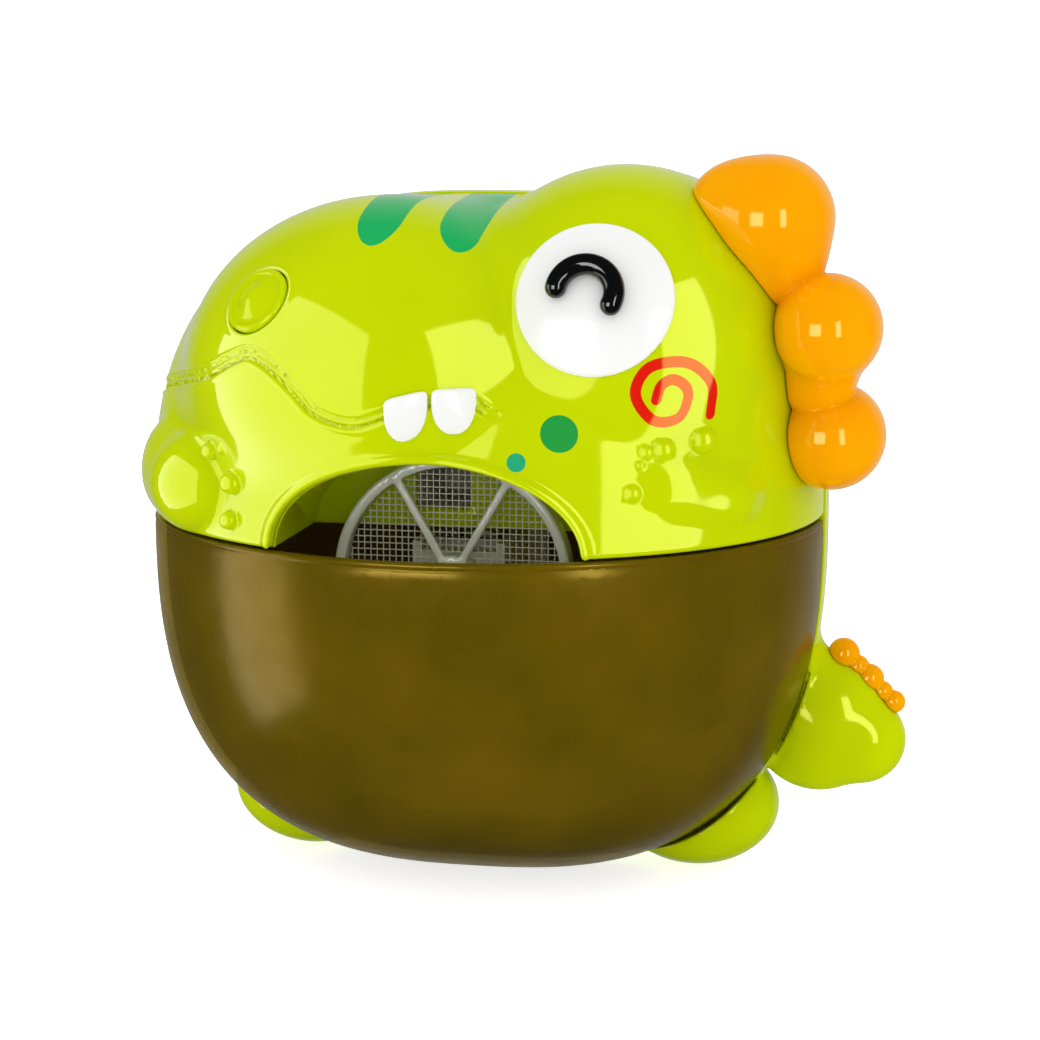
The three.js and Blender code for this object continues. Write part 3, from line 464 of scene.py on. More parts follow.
def inner_deck_field(p):
    r, u = radial(p)
    inside = r - head_radius(u) + WALL + 0.5
    floor = np.maximum(slab(p, (None, None, 0.5), (None, RIM_Y - 0.6, 2.1)), inside)
    outer = np.maximum(arch(p, OUTLET_HALF_WIDTH + 1.4, OUTLET_HEIGHT + 1.4), inside)
    outer = np.maximum(outer, np.maximum(p[1] + 51, 0.5 - p[2]))
    solid = smooth_min(floor, outer, 1.5)
    bore = np.maximum(arch(p, OUTLET_HALF_WIDTH - 0.2, OUTLET_HEIGHT - 0.2), p[1] + 52.6)
    inlet = slab(p, (-10.4, -56, 4.8), (2.4, -46, 15.4), 1.0)
    return smooth_max(smooth_max(solid, -bore, 0.6), -inlet, 0.5)


def eye_field(p):
    across, upward, outward = local(p, EYE_PLACE)
    from_axis = np.sqrt(across**2 + upward**2)
    dome = outward - EYE_RIM_HEIGHT - EYE_CROWN * (1 - (from_axis / EYE_RADIUS) ** 2)
    solid = smooth_max(dome, from_axis - EYE_RADIUS, 0.9)
    return smooth_max(solid, 0.12 - head_skin(p), 0.2)


def tooth_field(x, z, width, height, slope):
    """A tooth under the lip: square at the gum, with a half-ellipse below its widest line."""
    place = standing(head_point(x, z), (0.08, -1, 0))
    gum = 0.25 * height
    half = width / 2 + 0.2

    def field(p):
        across, upward, outward = local(p, place)
        upward = upward - gum - slope * across
        above = np.abs(np.maximum(upward, 0) / gum)
        below = np.abs(np.minimum(upward, 0) / (height - gum))
        side = np.abs(across) / half
        upper = (side**5 + above**5) ** 0.2
        lower = (side**2.3 + below**2.3) ** (1 / 2.3)
        outline = (np.where(upward > 0, upper, lower) - 1) * 4.0
        skin = head_skin(p)
        crown = skin - 2.1 + 0.04 * (across**2 + 0.5 * upward**2)
        return smooth_max(smooth_max(outline, crown, 1.3), 0.12 - skin, 0.2)

    return field


# ---- From fields to meshes

# The grid is worked out in cubes of this many points; a skipped cube holds FAR, in millimetres.
BLOCK = 8
FAR = 9
BLOCKS_AT_ONCE = 1200


def gradient(field, points, step=0.03):
    slope = np.empty_like(points)
    for axis in range(3):
        shift = np.zeros(3)
        shift[axis] = step
        ahead, behind = points + shift, points - shift
        slope[:, axis] = (field(tuple(ahead.T)) - field(tuple(behind.T))) / (2 * step)
    return slope


def settle(field, points, voxel, rounds=3):
    """Draws points onto the zero surface of a field."""
    for _ in range(rounds):
        slope = gradient(field, points)
        length = (slope * slope).sum(1) + 1e-6
        step = -(field(tuple(points.T)) / length)[:, None] * slope
        size = np.sqrt((step * step).sum(1))[:, None] + 1e-9
        points = points + step * np.minimum(1, 0.6 * voxel / size)
    return points


def link(obj):
    bpy.context.scene.collection.objects.link(obj)
    return obj


def slot_of(material):
    """The slot a material is named after; Blender adds a number when the frame has that name too."""
    return material.name.split(".")[0]


def add_object(mesh, body, material, node, slot=None):
    """A visible piece on a body, in the place of a CAD node."""
    obj = link(bpy.data.objects.new(mesh.name, mesh))
    mesh.materials.append(material)
    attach(obj, body)
    slot or slot_of(material)
    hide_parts(node)


def mesh_of(name, points, faces):
    """A smooth mesh from points in millimetres and faces of one size."""
    faces = np.asarray(faces, np.int32)
    mesh = bpy.data.meshes.new(name)
    mesh.vertices.add(len(points))
    mesh.vertices.foreach_set("co", (np.asarray(points) * MM).astype(np.float32).ravel())
    mesh.loops.add(faces.size)
    mesh.loops.foreach_set("vertex_index", faces.ravel())
    mesh.polygons.add(len(faces))
    mesh.polygons.foreach_set("loop_start", np.arange(0, faces.size, faces.shape[1], dtype=np.int32))
    mesh.update(calc_edges=True)
    mesh.validate()
    mesh.polygons.foreach_set("use_smooth", np.ones(len(mesh.polygons), bool))
    return mesh


def read_points(mesh):
    co = np.empty(len(mesh.vertices) * 3, np.float32)
    mesh.vertices.foreach_get("co", co)
    return co.reshape(-1, 3).astype(float) / MM


def sample(field, axes, reach):
    """Values of a field on a grid, worked out only in the blocks that its surface can cross."""
    shape = [len(a) // BLOCK for a in axes]
    centres = [a.reshape(-1, BLOCK).mean(1) for a in axes]
    coarse = field(np.meshgrid(*centres, indexing="ij"))
    active = np.argwhere(np.abs(coarse) < reach)
    values = (np.sign(coarse) * FAR).astype(np.float32)
    for axis in range(3):
        values = np.repeat(values, BLOCK, axis)
    blocks = values.reshape(shape[0], BLOCK, shape[1], BLOCK, shape[2], BLOCK).transpose(0, 2, 4, 1, 3, 5)
    for start in range(0, len(active), BLOCKS_AT_ONCE):
        some = active[start:start + BLOCKS_AT_ONCE]
        x, y, z = (a.reshape(-1, BLOCK)[some[:, k]] for k, a in enumerate(axes))
        size = (len(some), BLOCK, BLOCK, BLOCK)
        p = (np.broadcast_to(x[:, :, None, None], size), np.broadcast_to(y[:, None, :, None], size),
             np.broadcast_to(z[:, None, None, :], size))
        blocks[some[:, 0], some[:, 1], some[:, 2]] = field(p)
    return values


def field_mesh(name, field, low, high, voxel, fine_field=None, detail=None, adaptivity=0.01):
    """Meshes the inside of a field; detail gives the length of edge wanted near each point."""
    axes = []
    for k in range(3):
        count = int((high[k] - low[k]) / voxel / BLOCK + 2) * BLOCK
        start = (low[k] + high[k] - (count - 1) * voxel) / 2
        axes.append(start + voxel * np.arange(count))
    values = sample(field, axes, 2.2 * BLOCK * voxel)
    band = 3.0
    grid = openvdb.FloatGrid(band)
    grid.copyFromArray(np.clip(values / voxel, -band, band))
    points, triangles, quads = grid.convertToPolygons(isovalue=0.0, adaptivity=adaptivity)
    points = settle(field, points.astype(float) * voxel + np.array([a[0] for a in axes]), voxel)
    triangles = np.vstack((triangles, quads[:, (0, 1, 2)], quads[:, (0, 2, 3)])).astype(np.int64)
    if detail:
        points, triangles = split_long_edges(points, triangles, detail)
    fine_field = fine_field or field
    points = unfold(fine_field, settle(fine_field, points, voxel), triangles, voxel)
    mesh = mesh_of(name, points, triangles)
    slope = gradient(fine_field, points)
    slope /= np.linalg.norm(slope, axis=1)[:, None] + 1e-9
    mesh.normals_split_custom_set_from_vertices(slope.astype(np.float32))
    return mesh


def unfold(field, points, triangles, voxel, rounds=4):
    """Moves the corners of triangles that face the wrong way to the middle of their neighbours."""
    for _ in range(rounds):
        a, b, c = (points[triangles[:, k]] for k in range(3))
        facing = np.cross(b - a, c - a)
        slope = gradient(field, (a + b + c) / 3)
        length = np.linalg.norm(facing, axis=1) * np.linalg.norm(slope, axis=1) + 1e-12
        folded = triangles[np.einsum("ij,ij->i", facing, slope) < 0.5 * length]
        if not len(folded):
            break
        total, number = np.zeros_like(points), np.zeros(len(points))
        for k in range(3):
            for other in (1, 2):
                np.add.at(total, triangles[:, k], points[triangles[:, (k + other) % 3]])
                np.add.at(number, triangles[:, k], 1)
        loose = np.unique(folded)
        points[loose] = total[loose] / number[loose, None]
        points[loose] = settle(field, points[loose], voxel)
    return points


def split_long_edges(points, triangles, detail, rounds=4):
    """Halves the edges that are longer than the detail wanted at their ends."""
    for _ in range(rounds):
        sides = np.sort(np.stack((triangles, np.roll(triangles, -1, 1)), 2), 2).reshape(-1, 2)
        _, first, which = np.unique(sides @ (len(points), 1), return_index=True, return_inverse=True)
        edges = sides[first]
        lengths = np.linalg.norm(points[edges[:, 0]] - points[edges[:, 1]], axis=1)
        long = lengths > 1.5 * detail(points)[edges].min(1)
        if not long.any():
            break
        middle = np.full(len(edges), -1)
        middle[long] = len(points) + np.arange(long.sum())
        points = np.vstack((points, points[edges[long]].mean(1)))
        triangles = split_triangles(triangles, middle[which.reshape(-1, 3)])
    return points, triangles


def split_triangles(triangles, middles):
    """Cuts triangles at the middles of their sides; a middle of -1 leaves its side whole."""
    cut = middles >= 0
    count = cut.sum(1)
    turn = np.where(count == 1, np.argmax(cut, 1), np.where(count == 2, np.argmin(cut, 1) + 1, 0))
    order = (np.arange(3) + turn[:, None]) % 3
    a, b, c = np.take_along_axis(triangles, order, 1).T
    ab, bc, ca = np.take_along_axis(middles, order, 1).T
    patterns = (
        ((a, b, c),),
        ((a, ab, c), (ab, b, c)),
        ((ab, b, bc), (a, ab, bc), (a, bc, c)),
        ((a, ab, ca), (ab, b, bc), (ca, bc, c), (ab, bc, ca)),
    )
    parts = [np.column_stack(part)[count == k] for k, pattern in enumerate(patterns) for part in pattern]
    return np.vstack(parts)


def sweep(points, radius, sides=12, round_ends=False):
    """A round bar along points in millimetres, as vertices and faces, with its ends closed."""
    points = np.array(points, float)
    radii = np.full(len(points), float(radius))
    if round_ends:
        turns = np.radians((90, 72, 54, 36, 18))
        first, last = points[0], points[-1]
        ahead = (points[1] - first) / np.linalg.norm(points[1] - first)
        behind = (last - points[-2]) / np.linalg.norm(last - points[-2])
        cap_a = [first - ahead * radius * math.sin(t) for t in turns]
        cap_b = [last + behind * radius * math.sin(t) for t in turns[::-1]]
        cap_radii = [max(radius * math.cos(t), 0.02) for t in turns]
        points = np.vstack((cap_a, points, cap_b))
        radii = np.concatenate((cap_radii, radii, cap_radii[::-1]))
    count = len(points)
    tangents = np.gradient(points, axis=0)
    tangents /= np.linalg.norm(tangents, axis=1)[:, None]
    side = np.cross(tangents[0], (0.31, 0.52, 0.79))
    rings = []
    for i in range(count):
        side = side - tangents[i] * (side @ tangents[i])
        side /= np.linalg.norm(side)
        other = np.cross(tangents[i], side)
        for k in range(sides):
            angle = 2 * math.pi * k / sides
            rings.append(points[i] + radii[i] * (math.cos(angle) * side + math.sin(angle) * other))
    faces = []
    for i in range(0, (count - 1) * sides, sides):
        for k in range(sides):
            after = (k + 1) % sides
            faces.append((i + k, i + after, i + sides + after, i + sides + k))
    faces += [tuple(range(sides))[::-1], tuple(range((count - 1) * sides, count * sides))]
    return rings, faces


def poly_mesh(name, points, faces):
    mesh = bpy.data.meshes.new(name)
    mesh.from_pydata([Vector(p) * MM for p in points], [], [tuple(int(i) for i in f) for f in faces])
    mesh.validate()
    bm = bmesh.new()
    bm.from_mesh(mesh)
    bmesh.ops.recalc_face_normals(bm, faces=bm.faces)
    bm.to_mesh(mesh)
    bm.free()
    mesh.polygons.foreach_set("use_smooth", np.ones(len(mesh.polygons), bool))
    return mesh


def lathe(profile, sides=64):
    """Vertices and faces of a profile of (radius, height) points turned about the height axis."""
    points, faces = [], []
    rings = []
    for radius, height in profile:
        if radius < 1e-6:
            rings.append([len(points)])
            points.append((0, 0, height))
            continue
        rings.append(list(range(len(points), len(points) + sides)))
        for k in range(sides):
            angle = 2 * math.pi * k / sides
            points.append((radius * math.cos(angle), radius * math.sin(angle), height))
    for lower, upper in zip(rings, rings[1:]):
        for k in range(sides):
            after = (k + 1) % sides
            if len(lower) == 1:
                faces.append((lower[0], upper[after], upper[k]))
            elif len(upper) == 1:
                faces.append((lower[k], lower[after], upper[0]))
            else:
                faces.append((lower[k], lower[after], upper[after], upper[k]))
    return np.array(points), faces


def rounded(profile, radius, steps=5):
    """A profile with its corners rounded, apart from those on the axis."""
    share = np.linspace(0, 1, steps)[:, None]
    out = [profile[0]]
    for corner in zip(profile, profile[1:], profile[2:]):
        a, b, c = np.array(corner, float)
        if b[0] < 1e-6:
            out.append(b)
            continue
        reach = min(radius, 0.45 * math.dist(a, b), 0.45 * math.dist(b, c))
        before = b + (a - b) / np.linalg.norm(a - b) * reach
        after = b + (c - b) / np.linalg.norm(c - b) * reach
        out += ((1 - share) ** 2 * before + 2 * share * (1 - share) * b + share**2 * after).tolist()
    out.append(profile[-1])
    return out


def stand(points, place):
    """Points drawn in across, upward, outward, moved to their place on the casing."""
    anchor, axes = place
    return np.asarray(points) @ axes + anchor


def along_y(points, x, z):
    """Points turned so that their third axis runs along Y, at x, z."""
    points = np.asarray(points)
    return np.column_stack((points[:, 0] + x, points[:, 2], -points[:, 1] + z))


# ---- Materials

class Nodes:
    """Adds nodes to a tree; an input is either a value or another node's output."""

    def __init__(self, tree):
        self.tree = tree

    def feed(self, socket, value):
        if isinstance(value, bpy.types.NodeSocket):
            self.tree.links.new(value, socket)
        else:
            socket.default_value = value

    def add(self, kind, inputs=None, **settings):
        node = self.tree.nodes.new("ShaderNode" + kind)
        for key, value in settings.items():
            setattr(node, key, value)
        for key, value in (inputs or {}).items():
            self.feed(node.inputs[key], value)
        return node

    def math(self, operation, a, b):
        return self.add("Math", {0: a, 1: b}, operation=operation).outputs[0]

    def mix(self, factor, a, b):
        return self.add("Mix", {0: factor, 6: a, 7: b}, data_type="RGBA").outputs[2]

    def bump(self, height, strength, depth_mm):
        depth = depth_mm * MM
        return self.add("Bump", {"Height": height, "Strength": strength, "Distance": depth}).outputs[0]

    def ramp(self, value, start, end, low, high):
        """Low up to start, high from end on, and evenly from one to the other between."""
        return self.add("MapRange", {"Value": value, "From Min": start, "From Max": end,
                                     "To Min": low, "To Max": high}).outputs[0]

    def noise(self, size_mm, detail=2.0, stretch=None):
        """Noise whose grain measures about size_mm."""
        where = self.add("TexCoord").outputs["Object"]
        if stretch:
            where = self.add("Mapping", {"Vector": where, "Scale": stretch}).outputs[0]
        scale = 1 / (size_mm * MM)
        return self.add("TexNoise", {"Vector": where, "Scale": scale, "Detail": detail}).outputs[0]

    def spread(self, value, low, high):
        return self.ramp(value, 0.3, 0.7, low, high)

    def inside(self, name, edge=0.05):
        """1 where the named distance, in millimetres, is below zero, with a soft edge."""
        distance = self.add("Attribute", attribute_name=name).outputs["Fac"]
        return self.ramp(distance, -edge, edge, 1.0, 0.0)


def linear(red, green, blue):
    """A colour from its 0-255 screen values."""
    def channel(value):
        value /= 255
        return value / 12.92 if value <= 0.04045 else ((value + 0.055) / 1.055) ** 2.4
    return (channel(red), channel(green), channel(blue), 1.0)


def new_material(name):
    material = bpy.data.materials.new(name)
    material.use_nodes = True
    shader = material.node_tree.nodes["Principled BSDF"]
    return material, Nodes(material.node_tree), shader


def connect(nodes, shader, **inputs):
    for key, value in inputs.items():
        nodes.feed(shader.inputs[key.replace("_", " ")], value)


def gloss_plastic(name, colour, shade, sheen, roughness=0.07, peel=0.04, prints_and_shade=()):
    """Moulded gloss plastic whose highlights take the colour sheen, with orange peel, flat printed inks and
    painted shade laid over its colour.
    """
    material, nodes, shader = new_material(name)
    base = nodes.mix(nodes.spread(nodes.noise(28, 3), 0, 1), colour, shade)
    # Each mark is laid over the colour: a printed ink, or a darker colour painted in as shade.
    for attribute, ink_or_shade in prints_and_shade:
        base = nodes.mix(nodes.inside(attribute), base, ink_or_shade)
    rough = nodes.spread(nodes.noise(9, 3), roughness * 0.8, roughness * 1.3)
    height = nodes.math("ADD", nodes.noise(1.6, 1), nodes.math("MULTIPLY", nodes.noise(7, 1), 2.0))
    connect(nodes, shader, Base_Color=base, Roughness=rough, Normal=nodes.bump(height, peel, 0.1), IOR=1.5,
            Specular_Tint=sheen)
    return material


def satin_plastic(name, colour, shade, roughness=0.45):
    """Unpainted moulded plastic with a fine spark-eroded grain."""
    material, nodes, shader = new_material(name)
    base = nodes.mix(nodes.spread(nodes.noise(12, 3), 0, 1), colour, shade)
    rough = nodes.spread(nodes.noise(3, 3), roughness * 0.85, roughness * 1.2)
    grain = nodes.bump(nodes.noise(0.35, 3), 0.35, 0.05)
    connect(nodes, shader, Base_Color=base, Roughness=rough, Normal=grain)
    return material


def tank_plastic():
    """Smoky brown plastic that lets some light through, with a satin inside."""
    material, nodes, shader = new_material("tank_plastic")
    base = nodes.mix(nodes.spread(nodes.noise(35, 3), 0, 1), linear(100, 84, 0), linear(128, 104, 6))
    rough = nodes.spread(nodes.noise(6, 3), 0.18, 0.26)
    connect(nodes, shader, Base_Color=base, Roughness=rough, IOR=1.7, Specular_Tint=(1, 0.68, 0.14, 1),
            Normal=nodes.bump(nodes.noise(1.4, 2), 0.05, 0.1))
    clear = nodes.add("BsdfTransparent", {"Color": (0.55, 0.48, 0.06, 1)})
    mix = nodes.add("MixShader", {0: 0.35, 1: shader.outputs[0], 2: clear.outputs[0]})
    nodes.feed(material.node_tree.nodes["Material Output"].inputs[0], mix.outputs[0])
    return material


def metal(name, colour, roughness=0.3):
    """Plain plated steel with drawn lines and a little tarnish."""
    material, nodes, shader = new_material(name)
    lines = nodes.noise(0.5, 3, (1.0, 0.03, 1.0))
    tarnish = tuple(0.8 * c for c in colour[:3]) + (1,)
    base = nodes.mix(nodes.spread(nodes.noise(4, 3), 0, 1), colour, tarnish)
    rough = nodes.spread(lines, roughness * 0.8, roughness * 1.3)
    connect(nodes, shader, Base_Color=base, Roughness=rough, Metallic=1.0,
            Normal=nodes.bump(lines, 0.15, 0.03))
    return material


def clear_rubber():
    material, nodes, shader = new_material("clear_rubber")
    haze = nodes.spread(nodes.noise(3, 3), 0.12, 0.3)
    connect(nodes, shader, Base_Color=linear(226, 236, 232), Roughness=haze, Transmission_Weight=0.75,
            IOR=1.42, Normal=nodes.bump(nodes.noise(2, 2), 0.1, 0.1))
    return material


def net_cloth():
    material, nodes, shader = new_material("mesh_cloth")
    base = nodes.mix(nodes.noise(0.4, 3), linear(238, 238, 232), linear(214, 214, 206))
    connect(nodes, shader, Base_Color=base, Roughness=0.7, Sheen_Weight=0.3,
            Normal=nodes.bump(nodes.noise(0.15, 2), 0.3, 0.03))
    return material


def cell_jacket():
    """A plain shrink film, with a gold band at the plus end."""
    material, nodes, shader = new_material("cell_jacket")
    wrinkle = nodes.noise(5, 3, (1.0, 0.2, 0.2))
    base = nodes.mix(nodes.spread(wrinkle, 0, 1), linear(38, 42, 50), linear(52, 56, 66))
    base = nodes.mix(nodes.inside("gold_band", 0.1), base, linear(196, 150, 62))
    connect(nodes, shader, Base_Color=base, Roughness=nodes.spread(wrinkle, 0.2, 0.34), Metallic=0.3,
            Normal=nodes.bump(wrinkle, 0.15, 0.1))
    return material


def board_lacquer():
    material, nodes, shader = new_material("board_green")
    tracks = nodes.add("TexBrick", {"Vector": nodes.add("TexCoord").outputs["Object"], "Scale": 260.0,
                                    "Mortar Size": 0.04, "Color1": linear(20, 98, 52),
                                    "Color2": linear(24, 108, 58), "Mortar": linear(42, 136, 78)})
    connect(nodes, shader, Base_Color=tracks.outputs[0], Roughness=nodes.spread(nodes.noise(2, 2), 0.28, 0.4))
    return material


LIME, LIME_SHADE = linear(200, 219, 2), linear(194, 214, 0)
LIME_SHEEN = (1, 1, 0.25, 1)
WHITE_SHEEN = (1, 1, 1, 1)
# The first of these colours is painted shade: a darker lime laid into the two bands of the mouth's groove.
# The others are printed inks.
FACE_PRINTS_AND_SHADE = (
    ("mouth_groove_painted_shade", linear(172, 186, 0)),
    ("ink_stripe", linear(30, 178, 96)), ("ink_dot", linear(38, 158, 66)), ("ink_teal", linear(40, 170, 120)),
    ("ink_swirl", linear(224, 26, 14)),
)
lime = gloss_plastic("lime_plastic", LIME, LIME_SHADE, LIME_SHEEN)
lime_face = gloss_plastic("lime_face", LIME, LIME_SHADE, LIME_SHEEN, prints_and_shade=FACE_PRINTS_AND_SHADE)
orange = gloss_plastic("orange_plastic", linear(255, 176, 0), linear(255, 162, 0), (1, 0.9, 0.4, 1))
white = gloss_plastic("white_plastic", linear(248, 248, 246), linear(244, 245, 242), WHITE_SHEEN, 0.14, 0.03)
black = gloss_plastic("black_plastic", linear(10, 10, 11), linear(14, 14, 15), WHITE_SHEEN, 0.06, 0.03)
cream = satin_plastic("cream_plastic", linear(232, 228, 214), linear(224, 219, 202))
dark_grain = satin_plastic("speaker_black", linear(24, 24, 26), linear(32, 32, 34), 0.5)
smoke = tank_plastic()
steel = metal("steel", (0.62, 0.62, 0.64, 1))
brass = metal("bush_bronze", (0.55, 0.38, 0.17, 1), 0.35)
rubber = clear_rubber()
net = net_cloth()
jacket = cell_jacket()
board = board_lacquer()


# ---- Casings

def put_distance(mesh, name, values):
    attribute = mesh.attributes.new(name, "FLOAT", "POINT")
    attribute.data.foreach_set("value", values.astype(np.float32))


def stripe_distance(p, front_y, x, drift, half, spread, cap):
    """Distance, seen from above, to a stripe that starts with a round cap and runs back over the head."""
    back = p[1] - front_y
    across = np.abs(p[0] - x - drift * back)
    reach = half + spread * np.maximum(back, 0)
    capped = (np.hypot(across / reach, np.minimum(back - cap, 0) / cap) - 1) * reach
    return np.where(p[2] > 45, capped, 9.0)


def dot_distance(points, x, z, radius):
    return np.linalg.norm(points - head_point(x, z), axis=1) - radius


def print_and_shade_distances(points):
    """Distance from each point to each printed mark on the face, and to the bands of the mouth's groove where
    shade is painted.
    """
    p = tuple(points.T)
    stripes = np.minimum(*(stripe_distance(p, *stripe) for stripe in STRIPES))
    across, upward, outward = local(p, SWIRL_PLACE)
    flat = np.column_stack((across, upward, np.where(np.abs(outward) < 8, 0.0, 50.0)))
    swirl = along_curve(flat, curve_through([(a, b, 0) for a, b in SWIRL], 6))[0] - SWIRL_HALF_LINE
    below, strength = mouth_offset(p)
    # The two bands of the mouth's groove, where a darker lime is painted in as shade.
    painted_crease_bands = np.minimum(np.abs(below - UPPER_BAND) - 0.38, np.abs(below - LOWER_BAND) - 0.42)
    distances = {
        "mouth_groove_painted_shade": np.where(strength > 0.5, painted_crease_bands, 9.0),
        "ink_stripe": stripes,
        "ink_dot": dot_distance(points, *GREEN_DOT),
        "ink_teal": dot_distance(points, *TEAL_DOT),
        "ink_swirl": swirl,
    }
    inside = head_skin(p) < -1.2
    return {name: np.where(inside, 9.0, distance) for name, distance in distances.items()}


def face_detail(points):
    """Length of edge wanted on the face: short at the edges of printed marks and in the grooves."""
    prints_and_shade = print_and_shade_distances(points)
    prints_and_shade.pop("mouth_groove_painted_shade")
    edge = np.min([np.abs(distance) for distance in prints_and_shade.values()], axis=0)
    wanted = 0.42 + 0.4 * edge
    p = tuple(points.T)
    below, strength = mouth_offset(p)
    off = np.maximum(np.abs(below - 1.1) - 2, 0)
    wanted = np.minimum(wanted, np.where(strength > 0, 0.4 + 0.4 * off, 9.0))
    across, upward, outward = local(p, NOSE_PLACE)
    off = np.abs(np.hypot(across, upward) - NOSE_RADIUS - 0.8)
    return np.minimum(wanted, np.where(outward > -9, 0.4 + 0.4 * off, 9.0))


def build_casings():
    low, high = box_mm("front_shell")
    mesh = field_mesh("front_shell_skin", front_shell_field, low, high, 0.55,
                      lambda p: front_shell_field(p, True), face_detail, 0.004)
    for name, distance in print_and_shade_distances(read_points(mesh)).items():
        put_distance(mesh, name, distance)
    add_object(mesh, "case", lime_face, "front_shell", slot_of(lime))
    for node, body, field, voxel, adaptivity, material in (
            ("tank", "tank", tank_field, 0.6, 0.004, smoke),
            ("rear_housing", "case", rear_housing_field, 0.6, 0.006, lime),
            ("crest", "case", crest_field, 0.4, 0.004, orange),
            ("tail_spikes", "case", tail_spike_field, 0.25, 0.01, orange),
            ("inner_deck", "case", inner_deck_field, 0.6, 0.01, lime)):
        mesh = field_mesh(node + "_skin", field, *box_mm(node), voxel, adaptivity=adaptivity)
        add_object(mesh, body, material, node)


# ---- Face

def build_eye():
    low, high = box_mm("eye_white")
    mesh = field_mesh("eye_disc", eye_field, low, high, 0.3, adaptivity=0.003)
    add_object(mesh, "case", white, "eye_white")
    arc_radius, bar = 6.5, 2.4
    points = []
    for angle in np.radians(np.linspace(170, -25, 60)):
        across = -1.7 + arc_radius * math.cos(angle)
        upward = -0.1 + arc_radius * math.sin(angle)
        dome = EYE_RIM_HEIGHT + EYE_CROWN * (1 - (across**2 + upward**2) / EYE_RADIUS**2)
        points.append((across, upward, dome + 0.75 * bar))
    rings, faces = sweep(points, bar, 28, round_ends=True)
    mesh = poly_mesh("eye_arc_bar", stand(rings, EYE_PLACE), faces)
    add_object(mesh, "case", black, "eye_arc")


def build_teeth():
    for name, shape in TEETH.items():
        low, high = box_mm(name)
        mesh = field_mesh(name + "_enamel", tooth_field(*shape), low - 1, high + 1, 0.3)
        add_object(mesh, "case", white, name)


def build_nose():
    """The push button: a low dome inside a raised rim."""
    rim, valley = NOSE_RADIUS - 0.9, NOSE_RADIUS - 1.7
    profile = [(0, -4.2), (NOSE_RADIUS, -4.2), (NOSE_RADIUS, -0.3)]
    for t in np.radians(np.arange(15, 121, 15)):
        profile.append((rim + 0.9 * math.cos(t), -0.3 + 0.8 * math.sin(t)))
    for r in np.linspace(valley, 0, 24):
        profile.append((r, 0.2 + 1.1 * (1 + math.cos(math.pi * r / valley))))
    points, faces = lathe(profile, 96)
    mesh = poly_mesh("nose_button_cap", stand(points, NOSE_PLACE), faces)
    add_object(mesh, "nose", lime, "nose_button")


# ---- Bubble wheel

def build_wheel():
    low, high = box_mm("wheel_frame")
    centre_z = (low[2] + high[2]) / 2
    radius = (high[0] - low[0]) / 2

    def frame_field(p):
        from_axis = np.sqrt(p[0] ** 2 + (p[2] - centre_z) ** 2)
        face = np.abs(p[1] - (low[1] + high[1]) / 2) - 3
        rim = smooth_max(np.abs(from_axis - radius + 1.2) - 1.2, face, 0.8)
        hub = smooth_max(from_axis - 5, face, 0.8)
        whole = np.minimum(rim, hub)
        for i in range(6):
            c, s = math.cos(i * math.pi / 3), math.sin(i * math.pi / 3)
            run = p[0] * c + (p[2] - centre_z) * s
            off = p[0] * s - (p[2] - centre_z) * c
            spoke = smooth_max(smooth_max(np.abs(off) - 0.9, np.abs(p[1] - low[1] - 0.8) - 0.8, 0.5),
                               np.abs(run - 15) - 12, 0.4)
            whole = smooth_min(whole, spoke, 0.7)
        return smooth_max(whole, 1.8 - from_axis, 0.3)

    mesh = field_mesh("wheel_frame_skin", frame_field, low, high, 0.5)
    add_object(mesh, "wheel", white, "wheel_frame")

    low, high = box_mm("wheel_mesh")
    net_radius = (high[0] - low[0]) / 2 - 0.1
    middle_y = (low[1] + high[1]) / 2
    pitch, thread, wave = 1.5, 0.16, 0.17
    points, faces = [], []
    for direction in (0, 1):
        for row in np.arange(-net_radius + pitch / 2, net_radius, pitch):
            reach = math.sqrt(net_radius**2 - row**2)
            hub = math.sqrt(max(5.4**2 - row**2, 0))
            for start, end in ((-reach, -hub), (hub, reach)) if hub else ((-reach, reach),):
                count = max(int((end - start) / (pitch / 2)), 2)
                run = np.linspace(start, end, count + 1)
                phase = math.pi * (run / pitch + direction + round(row / pitch))
                across = np.full(count + 1, row)
                x, z = (run, across) if direction == 0 else (across, run)
                path = np.column_stack((x, middle_y + wave * np.sin(phase), z + centre_z))
                rings, sides = sweep(path, thread, 4)
                base = len(points)
                points += rings
                faces += [tuple(i + base for i in side) for side in sides]
    mesh = poly_mesh("wheel_net", points, faces)
    add_object(mesh, "wheel", net, "wheel_mesh")


# ---- Back of the machine

def build_suction_cups():
    head = [(0, -5.6), (4.4, -5.2), (4.4, -2.9), (2.8, -2.9), (2.8, 2.2)]
    outside = [(6.5, 2.9), (10, 4.4), (13, 6.4), (15, 8.4), (15, 9)]
    inside = [(14.2, 9), (12.4, 7.7), (9, 6.2), (4.5, 5.5), (0, 5.4)]
    points, faces = lathe(rounded(head + outside + inside, 0.9, 4))
    for i, (x, z) in enumerate(SUCTION_CUPS):
        node = f"suction_cup_{i + 1}"
        mesh = poly_mesh(node + "_vinyl", along_y(points, x, z), faces)
        add_object(mesh, "case", rubber, node)


